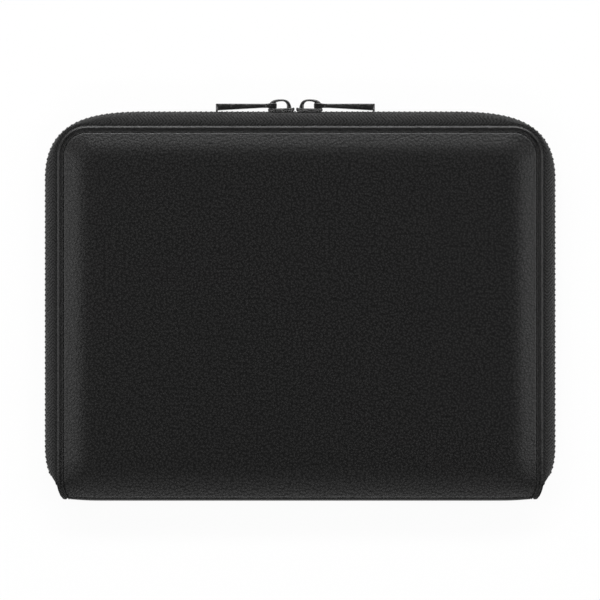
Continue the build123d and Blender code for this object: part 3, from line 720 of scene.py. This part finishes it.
def tape_tail(spot, z, outward):
    """Places by which the tape's end turns in behind the spine, from its end point."""
    side = math.copysign(1, spot[0])
    row = -88.75 - 0.3 * outward
    end = (side * min(109.8, abs(spot[0]) - 1.5), row)
    run = bezier(spot, (spot[0] - side * 1.1, spot[1] - 1.5), (end[0] + side * 4.0, row), end, TAIL_STEPS)
    lift = max(5.2 - z, 0)
    return [(x, y, z + lift * smooth_step((k + 1) / TAIL_STEPS)) for k, (x, y) in enumerate(run)]


for side, front in (("front", True), ("back", False)):
    points, uv = [], []
    stations = tape_stations()
    loop = [s[0] for s in stations] + [s[1] for s in reversed(stations)]
    fine = zip_path(1, 0)
    reach = [0.0]
    for (s0, t0, z0), (s1, t1, z1) in zip(loop, loop[1:]):
        reach.append(reach[-1] + math.hypot((s1 - s0) * 4.6 + t1 - t0, z1 - z0))
    for k, ((share, shift, z), across) in enumerate(zip(loop, reach)):
        path = zip_path(share, shift)
        outward = 1 if k < len(stations) else -1
        first, last = tape_tail(path[0], z, outward), tape_tail(path[-1], z, outward)
        run = tape_run(path)
        run = [run[0] - n for n in range(TAIL_STEPS, 0, -1)] + run + [run[-1] + n for n in range(1, TAIL_STEPS + 1)]
        spots = first[::-1] + [(x, y, z) for x, y in path] + last
        for (x, y, level), along in zip(spots, run):
            points.append((x, y, THICK - level if front else level))
            uv.append((along * MM, across * MM))
    count = len(fine) + 2 * TAIL_STEPS
    faces = grid_faces(len(loop), count, True, False)
    faces.append(tuple(k * count for k in range(len(loop))))
    faces.append(tuple(k * count + count - 1 for k in range(len(loop))))
    piece = make_object(side + "_tape_band", points, faces, uv)
    piece.data.materials.append(tape)
    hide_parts(side + "_zip_tape")
    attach(piece, side + "_cover")


# ---------------------------------------------------------------- teeth and stops
TOOTH = (
    (0.0, 0.52, 0.95), (0.22, 0.68, 1.16), (1.35, 0.7, 1.2), (2.1, 0.66, 1.16), (2.5, 0.5, 1.0),
    (2.95, 0.53, 0.94), (3.3, 0.44, 0.78), (3.5, 0.24, 0.5),
)


def metal_block(points, faces, spot, heading, front, levels, foot, cut=0.3):
    """One tooth or stop: a stack of cut-cornered sections, closed top and bottom."""
    normal = Vector((-heading.y, heading.x, 0))
    start = len(points)
    for up, along, out in levels:
        c = min(cut, along * 0.6, out * 0.6)
        outline = (
            (along - c, out), (along, out - c), (along, c - out), (along - c, -out), (c - along, -out),
            (-along, c - out), (-along, out - c), (c - along, out),
        )
        for t, o in outline:
            p = spot + heading * t + normal * o
            z = foot + up
            points.append((p.x, p.y, THICK - z if front else z))
    faces += grid_faces(len(levels), 8, False, True, start)
    faces.append(tuple(start + k for k in range(8)))
    faces.append(tuple(start + (len(levels) - 1) * 8 + k for k in range(8)))


for side, front in (("front", True), ("back", False)):
    points, faces = [], []
    first = (CHAIN - (TEETH - 1) * PITCH) / 2
    for n in range(TEETH - 1 if front else TEETH):
        spot, heading = on_chain(first + (n + (0.5 if front else 0.0)) * PITCH)
        spread = parted(spot.x) if spot.y > CHAIN_ROW - 1.2 else 0.0
        metal_block(points, faces, spot, heading, front, TOOTH, MID - 2.9 - spread)
    row = make_object(side + "_teeth_row", points, faces)
    row.data.materials.append(teeth_metal)
    bevel(row, 0.09, 1, 35)
    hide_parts(side + "_zip_teeth")
    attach(row, side + "_cover")
    points, faces = [], []
    for distance in (1.3, CHAIN - 1.3):
        spot, heading = on_chain(distance)
        levels = ((0.0, 0.7, 0.6), (0.25, 0.9, 0.8), (1.3, 0.95, 0.85), (2.4, 0.9, 0.8), (2.7, 0.7, 0.6))
        metal_block(points, faces, spot, heading, front, levels, MID - 2.9, 0.45)
    ends = make_object(side + "_end_stops", points, faces)
    ends.data.materials.append(teeth_metal)
    bevel(ends, 0.15, 2, 30)
    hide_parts(side + "_zip_stops")
    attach(ends, side + "_cover")


# ---------------------------------------------------------------- sliders, bails and pulls
NOSE_X = MEET - NOSE
PLATE_OUT, PLATE_IN = CHAIN_ROW + 2.5, CHAIN_ROW + 1.4
PIVOT = 9.55
PULL_ROW = PLATE_OUT + 1.5


class Shells:
    """Closed shells of one metal piece, built for the left side and mirrored for the right."""

    def __init__(self, side):
        self.points, self.faces, self.mirror = [], [], side == "right"

    def add(self, rings, closed=True):
        """Shell from rings of (distance from the slider's nose, y, z), capped at both ends."""
        start, size = len(self.points), len(rings[0])
        for ring in rings:
            for u, y, z in ring:
                x = NOSE_X - u
                self.points.append((2 * MEET - x if self.mirror else x, y, z))
        self.faces += grid_faces(len(rings), size, False, closed, start)
        self.faces.append(tuple(start + k for k in range(size)))
        self.faces.append(tuple(start + (len(rings) - 1) * size + k for k in range(size)))

    def make(self, name):
        return make_object(name, self.points, self.faces)


def plate_half(u, inset):
    """Half width of a slider plate at a distance from the nose, with round corners."""
    wide = 5.25 - 1.15 * smooth_step((u - 5.2) / 4.2)
    for gap, radius in ((u - inset, 1.7), (13.0 - inset - u, 1.4)):
        if gap < radius:
            wide -= radius - math.sqrt(max(radius * radius - (radius - gap) ** 2, 0))
    return max(wide - inset, 0.05)


def plate_rings(levels):
    """Rings of a slider plate, one for each (row, inset) level."""
    rings = []
    for row, inset in levels:
        low, high = inset, 13.0 - inset
        marks = [low + (high - low) * (1 - math.cos(math.pi * k / 44)) / 2 for k in range(45)]
        ring = [(u, row, MID + plate_half(u, inset)) for u in marks]
        ring += [(u, row, MID - plate_half(u, inset)) for u in reversed(marks)]
        rings.append(ring)
    return rings


def three_point(a, b, c, steps):
    """Places along the circle arc from a through b to c, leaving a out."""
    ax, ay, bx, by, cx, cy = *a, *b, *c
    d = 2 * (ax * (by - cy) + bx * (cy - ay) + cx * (ay - by))
    sa, sb, sc = ax * ax + ay * ay, bx * bx + by * by, cx * cx + cy * cy
    ox = (sa * (by - cy) + sb * (cy - ay) + sc * (ay - by)) / d
    oy = (sa * (cx - bx) + sb * (ax - cx) + sc * (bx - ax)) / d
    first = math.atan2(ay - oy, ax - ox)
    turn = (math.atan2(cy - oy, cx - ox) - first + math.pi) % (2 * math.pi) - math.pi
    radius = math.hypot(ax - ox, ay - oy)
    return [
        (ox + radius * math.cos(first + turn * k / steps), oy + radius * math.sin(first + turn * k / steps))
        for k in range(1, steps + 1)
    ]


def rounded_ring(count, power, place):
    """Ring of a squared oval; place turns its two shares, each -1 to 1, into a point."""
    ring = []
    for k in range(count):
        a = 2 * math.pi * (k + 0.5) / count
        c, d = math.cos(a), math.sin(a)
        ring.append(place(math.copysign(abs(c) ** (2 / power), c), math.copysign(abs(d) ** (2 / power), d)))
    return ring


def through(spots, steps):
    """Smooth run of places through the given ones, steps to each stretch."""
    ends = [spots[0], *spots, spots[-1]]
    run = []
    for a, b, c, d in zip(ends, ends[1:], ends[2:], ends[3:]):
        for k in range(steps):
            t = k / steps
            run.append(tuple(
                0.5 * (2 * q + (r - p) * t + (2 * p - 5 * q + 4 * r - w) * t * t + (3 * q - p - 3 * r + w) * t ** 3)
                for p, q, r, w in zip(a, b, c, d)
            ))
    return run + [spots[-1]]


BAIL_OUTER = through([
    (12.55, -0.1), (12.55, 1.0), (12.3, 2.2), (11.4, 3.5), (9.9, 4.3), (7.9, 4.62), (5.6, 4.62), (3.9, 4.25),
    (2.6, 3.2), (1.9, 1.7), (1.65, 0.6), (1.6, -0.1),
], 3)
BAIL_INNER = through([
    (10.57, -0.1), (10.57, 0.8), (10.5, 1.7), (9.95, 2.5), (9.1, 3.05), (8.0, 3.5), (6.6, 3.68), (5.2, 3.6),
    (4.2, 3.0), (3.7, 2.0), (3.6, 0.8), (3.75, -0.1),
], 3)


def slider_piece(side):
    shells = Shells(side)
    for sign in (1, -1):
        rim = ((1.4, 0.3), (1.44, 0.08), (1.54, 0.0), (2.12, 0.0), (2.3, 0.08), (2.43, 0.26), (2.5, 0.6))
        rings = plate_rings([(CHAIN_ROW + sign * reach, inset) for reach, inset in rim])
        shells.add([
            [(u, y + sign * 0.5 * smooth_step((1.8 - u) / 1.8) * (abs(y - CHAIN_ROW) - 1.2), z) for u, y, z in ring]
            for ring in rings
        ])
        for edge in (1, -1):
            rings = []
            for k in range(31):
                u = 0.5 + 12.0 * k / 30
                wide = plate_half(u, 0)
                low = 0.78 if 0 < k < 30 else 0.95
                rings.append([
                    (u, CHAIN_ROW + sign * reach, MID + edge * (wide - back)) for reach, back in (
                        (1.5, 0.08), (1.05, 0.04), (low, 0.16), (low - 0.06, 0.36), (low, 0.56), (1.05, 0.68), (1.5, 0.7))
                ])
            shells.add(rings)
    post = ((0.7, 0.3), (1.0, 0.48), (1.6, 0.62), (2.2, 0.65), (3.0, 0.48), (3.9, 0.22), (4.6, 0.06))
    ring = [(u, half) for u, half in post] + [(u, -half) for u, half in reversed(post)]
    shells.add([[(u, CHAIN_ROW + y, MID + half) for u, half in ring] for y in (-1.5, 0.0, 1.5)])
    return shells.make(side + "_slider_plates")


def bail_piece(side):
    shells, rings = Shells(side), []
    for outer, inner in zip(BAIL_OUTER, BAIL_INNER):
        cu, cy = (outer[0] + inner[0]) / 2, (outer[1] + inner[1]) / 2
        du, dy = (outer[0] - inner[0]) * 0.58, (outer[1] - inner[1]) * 0.52
        rings.append(rounded_ring(
            20, 3.4, lambda a, b: (cu + a * du, PLATE_OUT + cy + a * dy, MID + 1.2 * b)
        ))
    shells.add(rings)
    return shells.make(side + "_bail_arch")


def tab_half(x):
    wide = 2.3 + 1.3 * smooth_step((x - 4.0) / 18.0)
    if x > 28.35:
        wide -= 0.7 - math.sqrt(max(0.49 - (x - 28.35) ** 2, 0))
    return wide


def pull_piece(side):
    shells, rings = Shells(side), []
    marks = [4.3, 4.42, 4.7, 5.4, 7.0, 9.0, 11.0, 12.4, 12.6, 12.9, 13.2, 15.0, 17.0, 19.0, 21.0, 23.0, 25.0, 25.8,
             26.1, 26.4, 26.6, 27.4, 27.9, 28.05, 28.1, 28.4, 28.7, 28.9, 29.0, 29.05]
    for x in marks:
        wide = tab_half(x)
        under = -1.05 - 1.2 * min(max((x - 6.5) / 21.55, 0), 1) - (0.5 if x > 28.06 else 0)
        over, trim = 0.9, 0.3
        if x < 4.4 or x > 29.04:
            wide, under, over = wide - 0.22, under + 0.22, over - 0.22
        frame_depth = 0.2 * smooth_step((x - 12.5) / 0.5) * smooth_step((26.5 - x) / 0.5)
        ring = []
        for sign_z, sign_y in ((1, 1), (1, -1), (-1, -1), (-1, 1)):
            corner = over if sign_y > 0 else under
            turns = (0, 30, 60, 90) if sign_z * sign_y > 0 else (90, 60, 30, 0)
            if sign_z > 0 and sign_y > 0:
                turns = (90, 60, 30, 0)
            elif sign_z > 0:
                turns = (0, 30, 60, 90)
            elif sign_y < 0:
                turns = (90, 60, 30, 0)
            else:
                turns = (0, 30, 60, 90)
            for t in turns:
                a = math.radians(t)
                z = sign_z * (wide - trim + trim * math.cos(a))
                y = corner - sign_y * (trim - trim * math.sin(a))
                ring.append((PIVOT + x, PULL_ROW + y, MID + z))
        for share, deep in ((-0.74, 0), (-0.66, 1), (0, 1), (0.66, 1), (0.74, 0)):
            ring.append((PIVOT + x, PULL_ROW + over - deep * frame_depth, MID + wide * share))
        rings.append(ring)
    shells.add(rings)
    for edge in (1, -1):
        rings = []
        for z, inset in ((1.4, 0.14), (1.5, 0.0), (2.02, 0.0), (2.18, 0.08), (2.3, 0.34)):
            r = 0.9 - inset
            ring = []
            for k in range(15):
                c, d = math.cos(math.pi * k / 14), math.sin(math.pi * k / 14)
                ring.append((PIVOT - r * d ** 0.7, PULL_ROW + (r + 0.5) * math.copysign(abs(c) ** 0.7, c)))
            for x, half in ((2.0, r + 0.42), (3.4, r + 0.12), (4.75, r)):
                ring.append((PIVOT + x, PULL_ROW - half))
            for x, half in ((4.75, r), (3.4, r + 0.12), (2.0, r + 0.42)):
                ring.append((PIVOT + x, PULL_ROW + half))
            rings.append([(u, y, MID + edge * z) for u, y in ring])
        shells.add(rings)
    rings = []
    for z, r in ((-1.5, 0.82), (-0.8, 0.78), (0.0, 0.76), (0.8, 0.78), (1.5, 0.82)):
        rings.append([
            (PIVOT + r * math.cos(2 * math.pi * k / 20), PULL_ROW + r * math.sin(2 * math.pi * k / 20), MID + z)
            for k in range(20)
        ])
    shells.add(rings)
    return shells.make(side + "_pull_tab")


for side in ("left", "right"):
    for build, node, body in (
        (slider_piece, "_slider_body", "_slider"), (bail_piece, "_slider_bail", "_slider"),
        (pull_piece, "_pull", "_pull"),
    ):
        piece = build(side)
        piece.data.materials.append(slider_metal)
        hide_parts(side + node)
        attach(piece, side + body)
        for polygon in piece.data.polygons:
            if len(polygon.vertices) > 4:
                polygon.use_smooth = False


# ---------------------------------------------------------------- linings
LINING_PROFILE = [(0.75, 3.32), (0.8, 3.6), (0.98, 3.92), (1.3, 4.2), (1.9, 4.42), (2.8, 4.53), (4.2, 4.58), (6.2, 4.6)]
SPINE_FACE = 3.1
GROOVE_FACE = 2.3


def lining_depth(s, full):
    """Depth of the lining's inner face: it dips to the leather at the bend."""
    start, end = HINGE, HINGE - BEND * math.pi / 2
    if s >= start:
        return GROOVE_FACE + (full - GROOVE_FACE) * smooth_step((s - start) / 1.1)
    if s <= end:
        return GROOVE_FACE + (SPINE_FACE - GROOVE_FACE) * smooth_step((end - s) / 0.7)
    return GROOVE_FACE


for side, front in (("front", True), ("back", False)):
    rows = rows_between(
        (BOTTOM, BOTTOM + FLAT / 2 - 0.7, 3), (BOTTOM + FLAT / 2 - 0.7, BOTTOM + FLAT / 2, 5),
        (BOTTOM + FLAT / 2, HINGE, 10), (HINGE, HINGE + 1.1, 6), (HINGE + 1.1, -77.0, 4),
        (-77.0, TOP - CORNER, 30),
    )
    keep, SIDE_ROWS = SIDE_ROWS, rows
    rings = [plan_ring(i) for i, d in LINING_PROFILE]
    points, uv, faces = [], [], []
    for ring, (inset, depth) in zip(rings, LINING_PROFILE):
        for x, s in ring:
            d = lining_depth(s, depth) + smooth_step((abs(x) - 99) / 8) * smooth_step((HINGE + 2.5 - s) / 1.5)
            if s < HINGE + 1.1:
                edge = 1.2 + 0.6 * min(max((inset - 0.75) / 1.2, 0), 1) if s < HINGE else depth
                tuck = smooth_step((HINGE + 1.1 - s) / 1.1)
                reach = half_at(s) - inset - tuck * 5.9
                x = math.copysign(min(abs(x), reach), x)
            points.append(folded(x, s, d, front, False))
            uv.append((x * MM, s * MM))
    count = len(rings[0])
    faces += grid_faces(len(rings), count)
    base = (len(rings) - 1) * count
    sides = len(rows) - 1 + CORNER_STEPS // 2
    across = count - 1 - 2 * sides
    for i in range(sides):
        if i == sides - 1:
            loop = [base + sides - 1] + [base + sides + j for j in range(across + 1)] + [base + count - sides]
            faces.append(tuple(loop))
        else:
            faces.append((base + i, base + i + 1, base + count - 2 - i, base + count - 1 - i))
    SIDE_ROWS = keep
    cloth = make_object(
        side + "_lining_cloth", points, faces, uv, True,
        ((0, 0, THICK - 4.6 if front else 4.6), (0, 0, -1 if front else 1)),
    )
    cloth.data.materials.append(lining)
    m = cloth.modifiers.new("thickness", "SOLIDIFY")
    m.thickness = 0.5 * MM
    m.offset = -1
    level = THICK if front else 0.0
    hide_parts(side + "_lining", side + "_hinge_lining", "spine_lining")
    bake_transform(cloth)

for name in ("front_board", "back_board", "spine_board"):
    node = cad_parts[name]
    node.data.materials.clear()
    node.data.materials.append(board)


# ---------------------------------------------------------------- flat pieces inside
def plate(name, x0, x1, y0, y1, z0, z1, corner, soft=0.25, steps=6, grid=1):
    """Flat panel with round corners and softened edges."""
    outline = []
    for cx, cy, a0 in ((x1 - corner, y1 - corner, 0), (x0 + corner, y1 - corner, 90),
                       (x0 + corner, y0 + corner, 180), (x1 - corner, y0 + corner, 270)):
        for k in range(steps + 1):
            a = math.radians(a0 + 90 * k / steps)
            outline.append((cx, cy, math.cos(a), math.sin(a)))
    points, uv = [], []
    levels = ((z0, soft), (z0 + soft * 0.3, soft * 0.3), (z0 + soft, 0), (z1 - soft, 0),
              (z1 - soft * 0.3, soft * 0.3), (z1, soft))
    for z, inset in levels:
        for cx, cy, dx, dy in outline:
            x, y = cx + dx * (corner - inset), cy + dy * (corner - inset)
            points.append((x, y, z))
            uv.append((x * MM, y * MM + z * MM))
    faces = grid_faces(len(levels), len(outline), False, True)
    faces.append(tuple(range(len(outline))))
    faces.append(tuple((len(levels) - 1) * len(outline) + k for k in range(len(outline))))
    obj = make_object(name, points, faces, uv)
    return obj


def run_of_stitches(name, runs, z, up, body, length=2.3, radius=0.24, pitch=3.1):
    points, faces = [], []
    for run in runs:
        for spot, heading in resampled([(x, y, z) for x, y in run], pitch):
            capsule(points, faces, spot, heading, Vector((0, 0, up)), length, radius)
    obj = make_object(name, points, faces)
    obj.data.materials.append(thread)
    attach(obj, body)
    return obj


def finish_piece(obj, look, node, body):
    obj.data.materials.append(look)
    if node:
        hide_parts(node)
    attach(obj, body)


pad_card = plate("pad_card", -105, 105, -69.7, 78.3, 4.6, 5.1, 2.0, 0.1)
finish_piece(pad_card, card, "pad_backing_card", "back_cover")
holder = plate("pad_holder", 10, 113, -80, 86, 5.1, 5.7, 3.0, 0.25)
finish_piece(holder, leather_inside, "pad_slot_panel", "back_cover")
run_of_stitches(
    "pad_holder_stitching",
    [[(13, -78.2), (111.2, -78.2), (111.2, 84.2), (13, 84.2)]], 5.72, 1, "back_cover",
)
leaves = plate("pad_leaves", -105, 105, -69.7, 78.3, 5.75, 10.15, 2.0, 0.12)
finish_piece(leaves, paper, "pad_sheets", "back_cover")
strip = plate("pad_spine_strip", -105.25, -93, -69.7, 78.3, 4.7, 10.45, 0.6, 0.25)
finish_piece(strip, binding, "pad_binding_strip", "back_cover")

pocket = plate("pocket_panel", -112, 112, -78, 84, 19.7, 20.5, 3.0, 0.3)
finish_piece(pocket, leather_inside, "document_pocket", "front_cover")
run_of_stitches(
    "pocket_stitching", [[(-109, 82.2), (110.2, 82.2), (110.2, -76.2), (-109, -76.2)]], 19.68, -1,
    "front_cover",
)
for k, (x0, z1) in enumerate(((-80, 19.7), (-66, 19.1), (-52, 18.5)), start=1):
    piece = plate(f"card_pocket_{k}", x0, 0, -40, 52, z1 - 0.6, z1, 2.0, 0.22)
    finish_piece(piece, leather_inside, f"card_slot_{k}", "front_cover")
run_of_stitches(
    "card_pocket_stitching", [[(-50, -38.4), (-1.6, -38.4), (-1.6, 50.4), (-50, 50.4)]], 17.88, -1,
    "front_cover",
)


# ---------------------------------------------------------------- pen loop
def pen_loop():
    points, uv, faces = [], [], []
    steps, wide = 40, 14
    for w in range(wide + 1):
        x = -12.5 + 25.0 * w / wide
        edge = abs(2 * w / wide - 1)
        trim = 0.16 * smooth_step((edge - 0.8) / 0.2)
        for inner in (False, True):
            for k in range(steps):
                a = 2 * math.pi * k / steps
                r = (5.3 + trim) if inner else (6.15 - trim)
                y, z = -82.35 + r * math.cos(a), MID + r * math.sin(a)
                if not inner and math.cos(a) < -0.6:
                    y = max(min(y, -88.15), -88.55)
                points.append((x, y, z))
                uv.append((x * MM, a * r * MM))
    block = 2 * steps
    for w in range(wide):
        for half in (0, steps):
            for k in range(steps):
                a = w * block + half + k
                b = w * block + half + (k + 1) % steps
                faces.append((a, b, b + block, a + block))
    for w in (0, wide):
        for k in range(steps):
            a = w * block + k
            b = w * block + (k + 1) % steps
            faces.append((a, b, b + steps, a + steps))
    return make_object("pen_elastic", points, faces, uv)


loop_piece = pen_loop()
finish_piece(loop_piece, elastic, "pen_loop", "spine")


# ---------------------------------------------------------------- floor, light and camera
def floor_look():
    m = Look("floor_white")
    tree = m.tree
    tree.nodes.remove(m.shader)
    out = tree.nodes["Material Output"]
    diffuse = tree.nodes.new("ShaderNodeBsdfDiffuse")
    spot = m.place()
    speck = m.noise(spot, 40.0, 2.0)
    m.put(diffuse.inputs["Color"], m.blend(speck, grey(0.86), grey(0.88)))
    glow = tree.nodes.new("ShaderNodeEmission")
    glow.inputs["Color"].default_value = (1, 1, 1, 1)
    glow.inputs["Strength"].default_value = 1.0
    path = tree.nodes.new("ShaderNodeLightPath")
    seen = m.math("MAXIMUM", path.outputs["Is Camera Ray"], path.outputs["Is Glossy Ray"])
    seen = m.math("MAXIMUM", seen, path.outputs["Is Transmission Ray"])
    mix = tree.nodes.new("ShaderNodeMixShader")
    m.put(mix.inputs[0], m.math("MULTIPLY", seen, 0.94))
    tree.links.new(diffuse.outputs[0], mix.inputs[1])
    tree.links.new(glow.outputs[0], mix.inputs[2])
    tree.links.new(mix.outputs[0], out.inputs["Surface"])
    return m.mat


bpy.ops.mesh.primitive_grid_add(x_subdivisions=8, y_subdivisions=8, size=40.0, location=(0, 0, 0))
floor = bpy.context.object
floor.name = "floor"
floor.data.materials.append(floor_look())
floor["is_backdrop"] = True

world = bpy.data.worlds.new("studio")
bpy.context.scene.world = world
world.use_nodes = True
tree = world.node_tree
back = tree.nodes["Background"]
# pale all round at the horizon, as a studio's cove is, and dim overhead
AMBIENT = 0.115
direction = tree.nodes.new("ShaderNodeTexCoord")
split = tree.nodes.new("ShaderNodeSeparateXYZ")
height = tree.nodes.new("ShaderNodeMath")
height.operation = "ABSOLUTE"
level = tree.nodes.new("ShaderNodeMapRange")
level.interpolation_type = "SMOOTHSTEP"
tree.links.new(direction.outputs["Generated"], split.inputs[0])
tree.links.new(split.outputs[2], height.inputs[0])
tree.links.new(height.outputs[0], level.inputs[0])
for socket, value in zip(level.inputs[1:5], (0.14, 0.3, 1.0, AMBIENT)):
    socket.default_value = value
back.inputs["Color"].default_value = (1, 1, 1, 1)
tree.links.new(level.outputs[0], back.inputs["Strength"])


def lamp(name, place, target, size, power):
    data = bpy.data.lights.new(name, "AREA")
    data.shape = "RECTANGLE"
    data.size, data.size_y = size
    data.energy = power
    obj = bpy.data.objects.new(name, data)
    bpy.context.scene.collection.objects.link(obj)
    obj.location = place
    obj.rotation_euler = (Vector(target) - Vector(place)).to_track_quat("-Z", "Y").to_euler()
    return obj


lamp("left_soft", (-1.25, 0.05, 1.55), (0, 0, 0), (0.4, 1.3), 7.1)
lamp("right_soft", (1.25, 0.05, 1.55), (0, 0, 0), (0.4, 1.3), 7.1)
lamp("top_soft", (0, 1.3, 1.55), (0, 0, 0), (1.5, 0.35), 24.5)
lamp("left_corner_soft", (-0.95, 0.98, 1.55), (0, 0, 0), (0.5, 0.5), 3.4)
lamp("right_corner_soft", (0.95, 0.98, 1.55), (0, 0, 0), (0.5, 0.5), 3.4)
lamp("low_soft", (0, -1.2, 1.55), (0, 0, 0), (1.4, 0.35), 9.2)

camera_data = bpy.data.cameras.new("camera")
camera_data.lens = 245.1
camera_data.sensor_width = 36
camera_data.sensor_fit = "HORIZONTAL"
camera_data.clip_start = 0.05
camera_data.clip_end = 50
camera = bpy.data.objects.new("camera", camera_data)
bpy.context.scene.collection.objects.link(camera)
camera.location = (-0.00007, 0.00637, 2.02)
camera.rotation_euler = (0, 0, 0)
bpy.context.scene.camera = camera
bpy.context.scene.view_settings.view_transform = "Standard"

bpy.context.view_layer.update()
seen_box = [list(corner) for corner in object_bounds()]
({"cad": [[float(v) for v in c] for c in cad_box],
           "visual": [[float(v) for v in c] for c in seen_box]})
